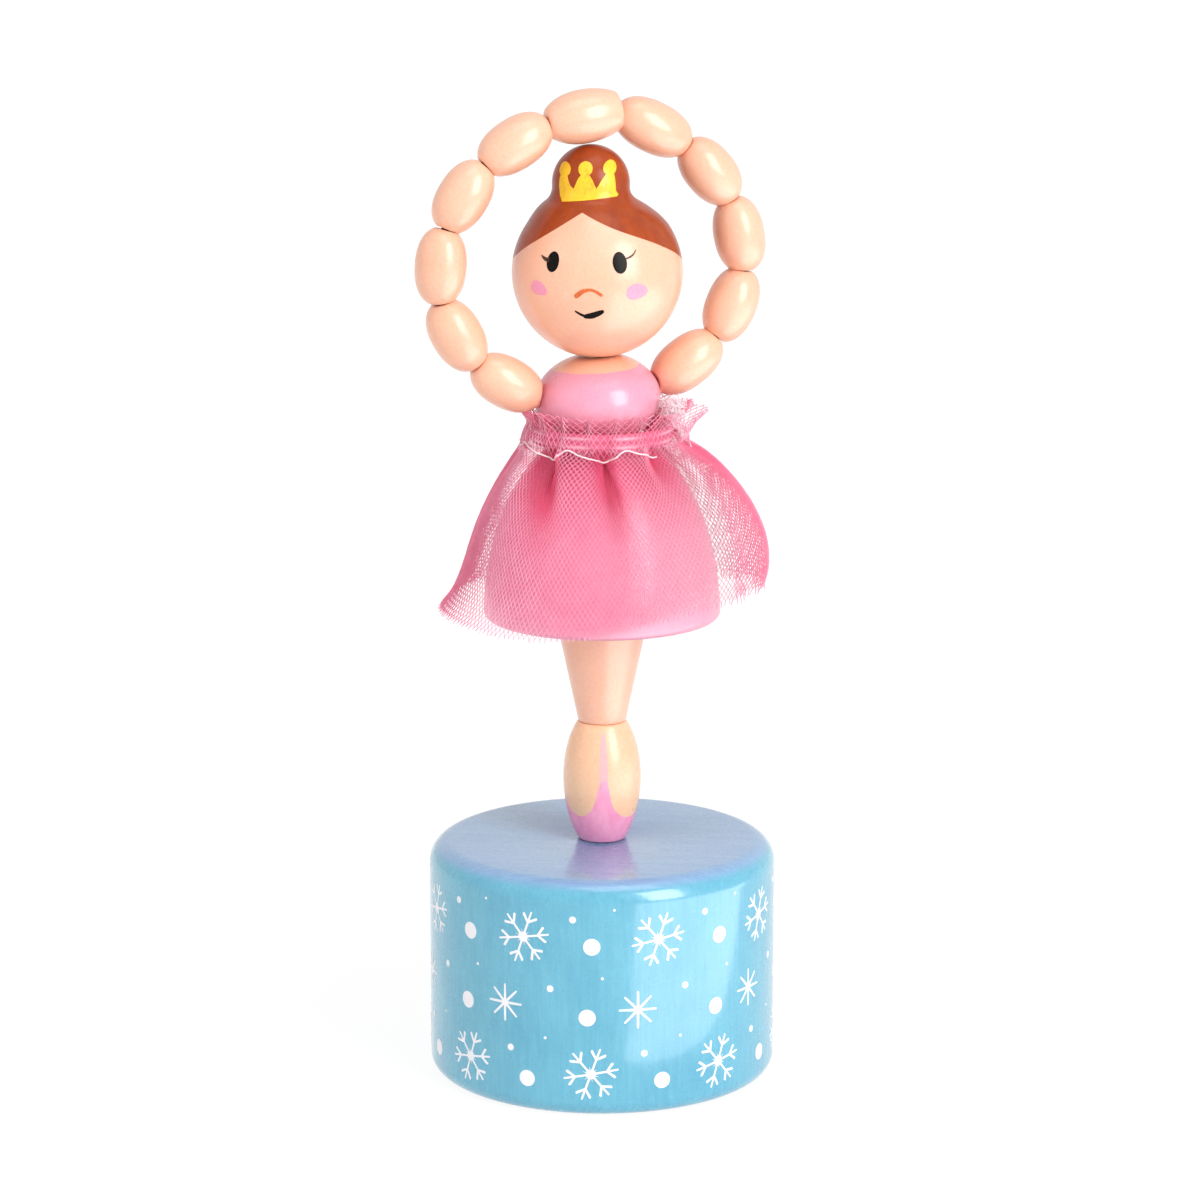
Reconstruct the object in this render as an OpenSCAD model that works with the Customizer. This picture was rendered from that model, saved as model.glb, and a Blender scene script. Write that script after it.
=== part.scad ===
// Push puppet: a turned wooden dancer, held up by taut cords on a hollow drum.
// A button under the drum slackens the cords against a spring, and the figure folds forwards.
// Millimetres, +Z up. The drum stands on Z = 0 with its axis on Z, the arms lie in the XZ
// plane and the figure's front is -Y.

/* [Drum] */
// Outside diameter of the drum
drum_d = 50; // [46:1:60]
// Height of the drum
drum_h = 34.3; // [33:0.1:42]
// Thickness of the drum's wall
drum_wall = 6; // [4:0.5:7]
// Thickness of the drum's top
drum_top = 7; // [5:0.5:8]
// Round along the drum's upper edge
drum_round = 3.2; // [1:0.2:4]
// Round along the drum's foot
foot_round = 2.4; // [0.6:0.2:3]
// Chamfer at the mouth of the drum
mouth_chamfer = 0.6; // [0.2:0.1:1]

/* [Button and spring] */
// Thickness of the button
button_t = 6; // [5:0.5:7]
// Depth of the thumb recess under the button
thumb_depth = 5; // [4.4:0.2:6]
// Gap between the button and the drum, all round
button_gap = 0.4; // [0.2:0.1:0.8]
// Round along the button's edges
button_round = 0.8; // [0.3:0.1:1.5]
// Diameter of the knot's pocket in the button
pocket_d = 9; // [8:0.5:14]
// Depth of the knot's pocket
pocket_depth = 3.2; // [2.6:0.1:4]
// Diameter of the knot that holds the cords
knot_d = 5; // [4:0.2:6]
// Height of the step that centres the spring
spigot_h = 1.6; // [1:0.1:2.5]
// Wire of the return spring
wire_d = 0.9; // [0.6:0.1:1]
// Mean diameter of the return spring
spring_d = 16; // [13:0.5:22]
// Turns of the return spring
spring_turns = 5; // [4:1:5]
// Pitch of the spring's two end turns
end_pitch = 1.5; // [1.45:0.05:1.7]

/* [Leg and skirt] */
// Height of the foot bead
foot_h = 17.5; // [14:0.5:22]
// Diameter of the foot bead
foot_d = 11.2; // [10:0.2:14]
// Radius of the foot bead's lower face
foot_low_r = 3.6; // [3:0.1:4.6]
// Radius of the foot bead's upper face
foot_high_r = 3.7; // [3:0.1:4.6]
// Height of the leg
leg_h = 15.3; // [12:0.5:20]
// Radius of the leg at the knee
leg_low_r = 3.5; // [3:0.1:4.5]
// Radius of the leg at the hip
leg_high_r = 6.7; // [5.5:0.1:8]
// Height of the skirt bell
bell_h = 25.9; // [22:0.5:30]
// Diameter of the skirt bell at its rim
bell_d = 34; // [30:0.5:38]
// Radius of the bell's upper face
bell_high_r = 6.2; // [5:0.1:7]
// Round along the bell's rim
bell_round = 1; // [0.4:0.1:1.6]

/* [Net skirt] */
// Thickness of the gathered net
net_t = 0.6; // [0.5:0.05:0.8]
// Gap between the net and what it hangs on
net_gap = 0.3; // [0.3:0.05:0.8]
// How far the net hangs clear of the bell in front
net_front = 0; // [0:0.1:2]
// How far the net billows from the bell on its full side
net_side = 6.4; // [3:0.2:6.8]
// Share of that at which the other side hangs
net_slack = 0.32; // [0.3:0.02:0.6]
// Depth of the gathers
net_fold = 1.1; // [0.4:0.1:1.6]
// Gathers round the waist
net_folds = 11; // [8:1:14]
// Height of the ruffle above the waist
ruffle_h = 4.7; // [3:0.1:5.4]
// How far the ruffle leans out from the waist
ruffle_flare = 1.3; // [1:0.1:3]
// Height of the net's hem above the bell's rim
hem_rise = 2.6; // [2.4:0.1:5]
// Width of the elastic band in the waist
elastic_w = 2.5; // [1.5:0.1:3]
// Thickness of the elastic band
elastic_t = 0.6; // [0.4:0.1:1]
// How far the bunched net lifts the elastic above the bell
elastic_rise = 1.9; // [1:0.1:2.4]

/* [Torso and head] */
// Height of the torso
torso_h = 11.7; // [10.5:0.1:14]
// Diameter of the torso
torso_d = 17.6; // [16:0.2:20]
// Radius of the torso's lower face
torso_low_r = 4.5; // [4:0.1:5]
// Radius of the torso's upper face
torso_high_r = 3; // [2.6:0.1:3.4]
// Sideways lean of the torso and arms, left side down
torso_lean = 3.4; // [0:0.2:4]
// Height of the shoulders above the torso's lower face
shoulder_h = 6.4; // [5.4:0.1:7.5]
// Diameter of the head
head_d = 24.2; // [20:0.2:26]
// Diameter of the bun
bun_d = 11; // [8:0.2:12]
// Height of the bun's centre above the head's centre
bun_rise = 12.6; // [11:0.1:13]
// Fillet between the bun and the head
bun_fillet = 1.6; // [0.8:0.1:3]
// Diameter of the plug that holds the cord in the head
plug_d = 4.4; // [4:0.1:5]
// Length of the plug
plug_l = 8; // [5:0.5:10]

/* [Arms] */
// Length of an arm bead
arm_l = 9.9; // [9:0.1:11]
// Diameter of an arm bead
arm_d = 7.3; // [6:0.1:8]
// Radius of an arm bead's end faces
arm_end_r = 1; // [0.95:0.05:2]
// Length of the bead of the joined hands
hands_l = 10.6; // [10:0.1:12.5]
// Tilt of the hands bead, right end up
hands_tilt = 5; // [0:0.5:6]
// Diameter of the hands bead
hands_d = 7.6; // [6:0.1:8.4]
// Radius of the hands bead's left end face
hands_left_r = 1.9; // [1.4:0.1:2.6]
// Radius of the hands bead's right end face
hands_right_r = 2.6; // [1.4:0.1:2.8]
// Gap between the shoulders and the torso
shoulder_gap = 0.4; // [0.35:0.05:0.8]
// Least gap between arm beads
bead_gap = 0.1; // [0.08:0.01:0.4]
// How far the two middle beads of each arm lean in, in degrees
arm_sag = 6; // [0:0.5:10]

/* [Cords] */
// Diameter of the cords
cord_d = 1.1; // [0.9:0.1:1.2]
// Gap between a cord and its bore, or the next cord
cord_gap = 0.1; // [0.08:0.01:0.15]
// Gap between seated pieces
seat_gap = 0.05; // [0.02:0.01:0.1]

/* [Hidden] */
arm_beads = 5;
side_names = ["left", "right"];
arm_numbers = [for (i = [1 : arm_beads]) i];

$fn = 64;
arc_steps = 8;
oval_steps = 18;
tube_sides = 8;
skin = "#f6c193";
pink = "#ef8fb5";
wood = "#d9b483";
black = "#1c1a1b";

// Three strands share the middle bore: two run on into the arms, one to the head
strand_r = (cord_d + cord_gap) / sqrt(3);
cord_bore = 2 * strand_r + cord_d + 2 * cord_gap;
arm_bore = cord_d + 4 * cord_gap;
arm_strand = [strand_r * cos(30), strand_r * sin(30)];
head_strand = [0, -strand_r];

// Levels, from the table upwards
drum_bore = drum_d - 2 * drum_wall;
ceiling_z = drum_h - drum_top;
button_z = thumb_depth;
foot_z = drum_h + seat_gap;
leg_z = foot_z + foot_h + seat_gap;
bell_z = leg_z + leg_h + seat_gap;
waist_z = bell_z + bell_h;
torso_rise = seat_gap + torso_low_r * sin(torso_lean);
torso_z = waist_z + torso_rise;
torso_top = leaned([0, 0, torso_h]);
head_x = torso_top[0];
head_seat_z = torso_top[2] + torso_high_r * sin(torso_lean) + seat_gap;
head_r = head_d / 2;
head_drop = sqrt(pow(head_r, 2) - pow(torso_high_r, 2));
head_z = head_seat_z + head_drop;

// A point of the torso's own frame, leaned sideways on the bell's upper face
function leaned(p) = [
  p[0] * cos(torso_lean) - p[2] * sin(torso_lean),
  p[1],
  torso_z + p[0] * sin(torso_lean) + p[2] * cos(torso_lean)];

module lean() translate([0, 0, torso_z]) rotate([0, -torso_lean, 0]) children();

// The ring of the arms. Each bead turns by the same angle from the last, but for the sag of the
// two middle ones, and the angle is the one at which the ring closes over the hands from
// shoulder to shoulder. Corner 0 is the shoulder and the last one the wrist.
shoulder_x = torso_d / 2 + shoulder_gap;
function mitre(r, turn) = r * tan(turn / 2) + bead_gap / 2;
function corner_turn(i, turn) = i == 0 ? turn : i == arm_beads ? arm_heading(i, turn)
  : arm_heading(i, turn) - arm_heading(i + 1, turn);
function arm_pitch(i, turn) = arm_l + mitre(arm_end_r, corner_turn(i - 1, turn))
  + mitre(arm_end_r, corner_turn(i, turn));
function hands_pitch(turn) = hands_l + mitre(hands_left_r, turn) + mitre(hands_right_r, turn);
function ring_reach(turn, i = 1) = i > arm_beads ? hands_pitch(turn) / 2
  : arm_pitch(i, turn) * cos(arm_heading(i, turn)) + ring_reach(turn, i + 1);
function arm_heading(i, turn) = (arm_beads + 1 - i) * turn - (i == 3 || i == 4 ? arm_sag : 0);
function close_ring(low, high, n = 40) = let (mid = (low + high) / 2)
  n == 0 ? mid
  : ring_reach(mid) > shoulder_x ? close_ring(mid, high, n - 1) : close_ring(low, mid, n - 1);
arm_turn = close_ring(20, 36);

// Corner i of the left arm
function arm_corner(i) = i == 0 ? [-shoulder_x, 0, shoulder_h]
  : arm_corner(i - 1) + arm_pitch(i, arm_turn) * heading(arm_heading(i, arm_turn));
function heading(a) = [cos(a), 0, sin(a)];
hands_z = arm_corner(arm_beads)[2];
hands_x = (mitre(hands_left_r, arm_turn) - mitre(hands_right_r, arm_turn)) / 2;

// Points on an arc about [x, y]
function arc(x, y, r, from, to) =
  [for (i = [0 : arc_steps]) let (a = from + (to - from) * i / arc_steps)
    [x + r * cos(a), y + r * sin(a)]];

// Half an oval: radius at height h from the widest place, where the face at h = end has radius end_r
function oval_r(h, r, end, end_r) = r * sqrt(1 - pow(h / end, 2) * (1 - pow(end_r / r, 2)));

// A turned oval bead with flat ends, standing on z = 0, with a bore along its axis
module oval_bead(l, d, low_r, high_r, bore, widest = 0.5) {
  low = l * widest;
  high = l - low;
  side = [for (i = [0 : oval_steps]) let (z = l * i / oval_steps)
    [z < low ? oval_r(low - z, d / 2, low, low_r) : oval_r(z - low, d / 2, high, high_r), z]];
  rotate_extrude() polygon(concat([[bore / 2, 0]], side, [[bore / 2, l]]));
}

// The three strands between two heights
module strands(from, to) color(black)
  for (p = [arm_strand, [-arm_strand[0], arm_strand[1]], head_strand])
    translate([p[0], p[1], from]) cylinder(d = cord_d, h = to - from);

// A closed tube swept along a list of points, with its own sideways direction v throughout
module tube(path, d, sides, v) {
  n = len(path);
  rings = [for (i = [0 : n - 1]) let (
      a = path[max(i - 1, 0)], b = path[min(i + 1, n - 1)],
      t = (b - a) / norm(b - a), w = cross(t, v), u = w / norm(w), q = cross(u, t))
    for (j = [0 : sides - 1]) path[i] + d / 2 * (cos(360 * j / sides) * u + sin(360 * j / sides) * q)];
  walls = [for (i = [0 : n - 2], j = [0 : sides - 1]) let (
      k = (j + 1) % sides, a = i * sides + j, b = i * sides + k)
    each [[a, b, a + sides], [b, b + sides, a + sides]]];
  last = (n - 1) * sides;
  ends = [for (j = [1 : sides - 2]) each [[0, j + 1, j], [last, last + j, last + j + 1]]];
  polyhedron(rings, concat(walls, ends));
}

module drum() color("#5db4d0") {
  r = drum_d / 2;
  hole = cord_bore / 2;
  bore = drum_bore / 2;
  rotate_extrude() polygon(concat(
    [[bore + mouth_chamfer, 0]],
    arc(r - foot_round, foot_round, foot_round, -90, 0),
    arc(r - drum_round, drum_h - drum_round, drum_round, 0, 90),
    [[hole, drum_h], [hole, ceiling_z], [bore, ceiling_z], [bore, mouth_chamfer]]));
}

// The button has a pocket below for the knot and a step above that centres the spring, clear of
// the flats of its coils
spring_rings = 8;
spigot_r = (spring_d * cos(180 / spring_rings) - wire_d) / 2 - button_gap;
module push_button() color(wood) {
  r = drum_bore / 2 - button_gap;
  hole = cord_bore / 2;
  pocket = pocket_d / 2;
  translate([0, 0, button_z]) rotate_extrude() polygon(concat(
    [[pocket, 0]],
    arc(r - button_round, button_round, button_round, -90, 0),
    arc(r - button_round, button_t - button_round, button_round, 0, 90),
    [[spigot_r, button_t], [spigot_r, button_t + spigot_h], [hole, button_t + spigot_h],
     [hole, pocket_depth], [pocket, pocket_depth]]));
}

// The knot is drawn up against the roof of its pocket, flattened by the pull
knot_h = knot_d * 0.56;
knot_z = button_z + pocket_depth - seat_gap - knot_h;
module cord_knot() color(black) translate([0, 0, knot_z])
  oval_bead(knot_h, knot_d, knot_d * 0.3, knot_d * 0.3, 0);

// The spring stands on the button round the step and bears on the drum's ceiling
spring_z = button_z + button_t + wire_d / 2 + seat_gap;
spring_rise = ceiling_z - seat_gap - wire_d / 2 - spring_z;
middle_pitch = (spring_rise - 2 * end_pitch) / (spring_turns - 2);
function spring_lift(t) = t < 1 ? t * end_pitch
  : t < spring_turns - 1 ? end_pitch + (t - 1) * middle_pitch
  : spring_rise - (spring_turns - t) * end_pitch;
spring_path = [for (i = [0 : spring_turns * spring_rings]) let (t = i / spring_rings)
  [spring_d / 2 * cos(360 * t), spring_d / 2 * sin(360 * t), spring_z + spring_lift(t)]];
spring_least = min([for (i = [0 : len(spring_path) - 1], j = [i + spring_rings / 2 : len(spring_path) - 1])
  norm(spring_path[i] - spring_path[j]) - wire_d]);
echo(spring_least_gap = spring_least);
module return_spring() color("silver") tube(spring_path, wire_d, 6, [0, 0, 1]);

module drum_cords() strands(knot_z + knot_h + seat_gap, drum_h - cord_gap);

module foot_bead() color(skin) translate([0, 0, foot_z])
  oval_bead(foot_h, foot_d, foot_low_r, foot_high_r, cord_bore, 0.525);
module foot_cords() strands(foot_z + cord_gap, foot_z + foot_h - cord_gap);

module leg() color(skin) translate([0, 0, leg_z]) rotate_extrude()
  polygon([[cord_bore / 2, 0], [leg_low_r, 0], [leg_high_r, leg_h], [cord_bore / 2, leg_h]]);
module leg_cords() strands(leg_z + cord_gap, leg_z + leg_h - cord_gap);

// The bell's side is a quarter oval that runs from the rim up to the waist
function bell_r(z) = oval_r(z, bell_d / 2, bell_h, bell_high_r);
module skirt_bell() color(pink) translate([0, 0, bell_z]) {
  rim = bell_r(bell_round);
  side = [for (i = [1 : oval_steps]) let (z = bell_round + (bell_h - bell_round) * i / oval_steps)
    [bell_r(z), z]];
  rotate_extrude() polygon(concat(
    [[cord_bore / 2, 0]], arc(rim - bell_round, bell_round, bell_round, -90, 0), side,
    [[cord_bore / 2, bell_h]]));
}
module skirt_cords() strands(bell_z + cord_gap, bell_z + bell_h - cord_gap);

// The elastic holds the net's waist round the top of the bell, lifted by the bunched net under it
elastic_high = bell_h + elastic_rise;
elastic_r = bell_r(bell_h - elastic_w) + net_gap;
module waist_elastic() color("#f4b6cd")
  translate([0, 0, bell_z + elastic_high - elastic_w]) rotate_extrude()
    translate([elastic_r, 0]) square([elastic_t, elastic_w]);

// The net is gathered at the waist. Above it stands as a ruffle, and below it billows out to
// both sides of the bell. a is the angle round the figure from its front, s runs from the
// waist at 0 to the hem at 1, and the gathers deepen and settle on the way down.
net_columns = 48;
gather_from = -5.6;
ruffle_rows = 3;
skirt_rows = 9;
net_waist_r = elastic_r + elastic_t + net_gap + net_fold / 2;
net_waist_z = elastic_high - elastic_w / 2;
function spread(a, s) = 0.35 * pow(max(0, -cos(a)), 2)
  + pow(sin(a), 2) * (sin(a) > 0 ? 0.56 + 0.96 * s - 0.59 * pow(s, 5) : net_slack + 0.45 * pow(s, 10));
function under(z) = bell_r(min(max(z, 0), bell_h));
function gather(a) = cos(net_folds * (a - gather_from)) + 0.35 * sin((net_folds - 5) * a + 40);
function hem_z(a) = hem_rise + 1.26 * sin(a) - 0.44 * cos(2 * a) + 1.08 * sin(2 * a);
function net_skirt_point(a, s) = let (
    z = net_waist_z - (net_waist_z - hem_z(a)) * pow(s, 1.25),
    settle = exp(-12 * max(0, s - 0.09)),
    rest = under(z) + net_gap + net_t / 2 + net_fold / 2,
    out = net_front + (net_side - net_front) * spread(a, s),
    fold = net_fold / 2 * gather(a) * (0.5 + 0.5 * sin(180 * min(1, s * 1.3))))
  [max(rest - net_fold / 2 + net_fold * settle / 2,
       rest + (net_waist_r - under(net_waist_z) - net_gap - net_t / 2 - net_fold / 2) * settle
         + out * (1 - settle) + fold), z];
function ruffle_top(a) = ruffle_h * (1 - 0.5 * pow(sin(a), 2));
function ruffle_point(a, s) = let (fold = net_fold / 2 * gather(a) * (1 - s * 0.4))
  [net_waist_r + net_t / 2 + ruffle_flare * (1 + 0.5 * sin(a)) * s + fold * 0.5,
   net_waist_z + ruffle_top(a) * s];
function net_point(a, row) = row < ruffle_rows ? ruffle_point(a, (ruffle_rows - row) / ruffle_rows)
  : net_skirt_point(a, (row - ruffle_rows) / skirt_rows);
function net_ring(row, side) = [for (i = [0 : net_columns - 1]) let (
    a = 360 * i / net_columns, p = net_point(a, row), r = p[0] + side * net_t / 2)
  [r * sin(a), -r * cos(a), bell_z + p[1]]];
module net_skirt() color("#ef5f93") {
  rows = ruffle_rows + skirt_rows + 1;
  loop = concat([for (row = [0 : rows - 1]) net_ring(row, 1)],
    [for (row = [rows - 1 : -1 : 0]) net_ring(row, -1)]);
  faces = [for (row = [0 : 2 * rows - 1], i = [0 : net_columns - 1]) let (
      below = (row + 1) % (2 * rows), k = (i + 1) % net_columns,
      a = row * net_columns + i, b = row * net_columns + k,
      c = below * net_columns + i, d = below * net_columns + k)
    each [[a, b, c], [b, d, c]]];
  polyhedron([for (ring = loop) each ring], faces);
}

// The cross bore lets the two arm strands out at the shoulders
module torso() color(pink) lean() difference() {
  oval_bead(torso_h, torso_d, torso_low_r, torso_high_r, cord_bore, 0.47);
  translate([0, 0, shoulder_h]) rotate([0, 90, 0])
    cylinder(d = arm_bore, h = torso_d, center = true);
}

// An arm strand rises beside the axis and bends out along the cross bore
bend_r = cord_bore / 2 - arm_strand[0] + cord_gap;
bend_steps = 8;
function arm_strand_path(side) = concat(
  [[side * arm_strand[0], arm_strand[1], cord_gap]],
  [for (i = [0 : bend_steps]) let (a = 90 * i / bend_steps)
    [side * (arm_strand[0] + bend_r * (1 - cos(a))), arm_strand[1] * (1 - a / 90),
     shoulder_h - bend_r + bend_r * sin(a)]],
  [[side * (shoulder_x - cord_gap), 0, shoulder_h]]);
module torso_cords() color(black) lean() {
  for (side = [-1, 1]) tube(arm_strand_path(side), cord_d, tube_sides, [0, 1, 0]);
  translate([head_strand[0], head_strand[1], cord_gap]) cylinder(d = cord_d, h = torso_h - 2 * cord_gap);
}

// Head and bun are turned in one piece, with a fillet rolled between the two balls
bun_r = bun_d / 2;
fillet_up = (pow(bun_rise, 2) + pow(head_r + bun_fillet, 2) - pow(bun_r + bun_fillet, 2)) / (2 * bun_rise);
fillet_out = sqrt(pow(head_r + bun_fillet, 2) - pow(fillet_up, 2));
knot_small_d = plug_d - 4 * cord_gap;
head_bore_l = plug_l + knot_small_d + 3 * cord_gap;
module head() color(skin) translate([head_x, 0, head_z]) difference() {
  rotate_extrude() intersection() {
    union() {
      circle(r = head_r);
      translate([0, bun_rise]) circle(r = bun_r);
      difference() {
        polygon([[0, 0], [fillet_out, fillet_up], [0, bun_rise]]);
        translate([fillet_out, fillet_up]) circle(r = bun_fillet);
      }
    }
    translate([0, -head_drop]) square([head_d, head_drop + bun_rise + bun_d]);
  }
  translate([0, 0, -head_drop - 1]) cylinder(d = plug_d + 2 * seat_gap, h = head_bore_l + 1);
}
module head_plug() color(wood) translate([head_x, 0, head_seat_z]) difference() {
  cylinder(d = plug_d, h = plug_l);
  translate([0, 0, -1]) cylinder(d = cord_bore, h = plug_l + 2);
}
module head_cord() color(black) translate([head_x, 0, head_seat_z]) {
  translate([head_strand[0], head_strand[1], cord_gap]) cylinder(d = cord_d, h = plug_l + knot_small_d / 2);
  translate([0, 0, plug_l + cord_gap + knot_small_d / 2]) sphere(d = knot_small_d);
}

// Bead i of the left arm lies between its two corners, and the right arm mirrors it
module arm_place(i) translate(arm_corner(i - 1))
  rotate([0, 90 - arm_heading(i, arm_turn), 0]) children();
module on_side(side) lean() mirror([side == "right" ? 1 : 0, 0, 0]) children();
module arm_bead(side, i) color(skin) on_side(side) arm_place(i)
  translate([0, 0, mitre(arm_end_r, corner_turn(i - 1, arm_turn))])
    oval_bead(arm_l, arm_d, arm_end_r, arm_end_r, arm_bore);
function cord_back(i) = cord_d / 2 * tan(corner_turn(i, arm_turn) / 2) + cord_gap;
module arm_cord(side, i) color(black) on_side(side) arm_place(i)
  translate([0, 0, cord_back(i - 1)])
    cylinder(d = cord_d, h = arm_pitch(i, arm_turn) - cord_back(i - 1) - cord_back(i));

// The hands bead rides up on its tilted end, so that its rim stays clear of the right arm
hands_lift = hands_right_r * sin(hands_tilt);
module along_hands() lean() translate([hands_x, 0, hands_z + hands_lift])
  rotate([0, 90 - hands_tilt, 0]) children();
module hands_bead() color(skin) along_hands() translate([0, 0, -hands_l / 2])
  oval_bead(hands_l, hands_d, hands_left_r, hands_right_r, arm_bore);
module hands_cord() color(black) along_hands()
  cylinder(d = cord_d, h = hands_pitch(arm_turn) - 2 * cord_back(arm_beads), center = true);

drum();
push_button();
cord_knot();
return_spring();
drum_cords();
foot_bead();
foot_cords();
leg();
leg_cords();
skirt_bell();
skirt_cords();
waist_elastic();
net_skirt();
torso();
torso_cords();
head();
head_plug();
head_cord();
hands_bead();
hands_cord();
for (side = side_names, i = arm_numbers) {
  arm_bead(side, i);
  arm_cord(side, i);
}

// Where the joints turn: the front of each seat, and each corner of the ring of the arms
echo(ankle = [0, -foot_low_r, drum_h]);
echo(knee = [0, -leg_low_r, leg_z - seat_gap]);
echo(hip = [0, -leg_high_r, bell_z - seat_gap]);
echo(waist = [0, -torso_low_r, waist_z]);
echo(neck = [head_x, -torso_high_r, head_seat_z - seat_gap]);
echo(shoulder_axis = [cos(torso_lean), 0, sin(torso_lean)], arm_turn = arm_turn);
for (i = [0 : arm_beads]) let (c = arm_corner(i), back = i == 0 ? 0 : arm_end_r)
  echo(str("corner ", i), left = leaned([c[0], -back, c[2]]), right = leaned([-c[0], -back, c[2]]));
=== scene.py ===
"""Looks of the push puppet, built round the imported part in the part's own frame, in metres."""
import logging
import random
from dataclasses import dataclass
from enum import Enum
from math import (acos, atan2, ceil, copysign, cos, degrees, exp, hypot, pi, radians, remainder, sin, sqrt,
                  tan, tau)
from typing import Callable, Sequence

import bmesh
import bpy
from mathutils import Matrix, Quaternion, Vector


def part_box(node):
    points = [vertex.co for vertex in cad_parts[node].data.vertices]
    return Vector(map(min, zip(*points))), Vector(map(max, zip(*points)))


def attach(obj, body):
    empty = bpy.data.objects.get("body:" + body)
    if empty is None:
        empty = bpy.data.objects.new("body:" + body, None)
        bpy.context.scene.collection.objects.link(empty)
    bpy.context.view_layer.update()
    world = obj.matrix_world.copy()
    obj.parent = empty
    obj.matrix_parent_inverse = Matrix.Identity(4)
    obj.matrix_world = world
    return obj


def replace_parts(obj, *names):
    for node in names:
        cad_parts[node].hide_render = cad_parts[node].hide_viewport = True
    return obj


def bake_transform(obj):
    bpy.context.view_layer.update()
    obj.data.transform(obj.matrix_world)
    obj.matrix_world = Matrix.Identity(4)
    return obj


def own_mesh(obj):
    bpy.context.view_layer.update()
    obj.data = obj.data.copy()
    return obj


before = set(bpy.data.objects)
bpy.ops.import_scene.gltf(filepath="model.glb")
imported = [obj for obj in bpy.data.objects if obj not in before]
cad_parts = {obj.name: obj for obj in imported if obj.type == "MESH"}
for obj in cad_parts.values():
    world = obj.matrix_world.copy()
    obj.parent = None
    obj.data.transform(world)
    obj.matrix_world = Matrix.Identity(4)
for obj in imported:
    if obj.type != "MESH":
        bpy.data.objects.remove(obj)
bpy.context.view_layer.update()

MM = 0.001
LOG = logging.getLogger("push_puppet")
FILM_LIFT = 0.03
FILM_DEPTH = 0.09
AXIS_DROP = 0.2
NET_CREASE = 80.0
YARN_CREASE = 60.0

Point2 = tuple[float, float]
Outline = list[Point2]
Place = Callable[[float, float, float], Vector]
Socket = bpy.types.NodeSocket
Mesh = bmesh.types.BMesh
Thing = bpy.types.Object
Paint = bpy.types.Material
Spread = Callable[[float, float], float]
Cloth = Callable[[float, float], Vector]


class Grain(Enum):
    """Which way the wood's fibres run on a piece, as noise scales along X, Y and Z."""

    UPRIGHT = (1.0, 1.0, 0.08)
    TURNED = (1.0, 1.0, 1.0)


class Body(Enum):
    """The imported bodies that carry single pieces."""

    DRUM = "drum_body"
    BUTTON = "button_body"
    FOOT = "foot_body"
    LEG = "leg_body"
    SKIRT = "skirt_body"
    TORSO = "torso_body"
    HEAD = "head_body"
    HANDS = "hands_body"


def linear(code: str) -> tuple[float, float, float, float]:
    """Turn a hex colour into the linear colour that shaders take.

    Args:
        code: Six hex digits, as in "f6c193".

    Returns:
        Red, green, blue and an alpha of 1.
    """
    parts = [int(code[i:i + 2], 16) / 255 for i in (0, 2, 4)]
    lin = [c / 12.92 if c <= 0.04045 else ((c + 0.055) / 1.055) ** 2.4 for c in parts]
    return (lin[0], lin[1], lin[2], 1.0)


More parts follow.
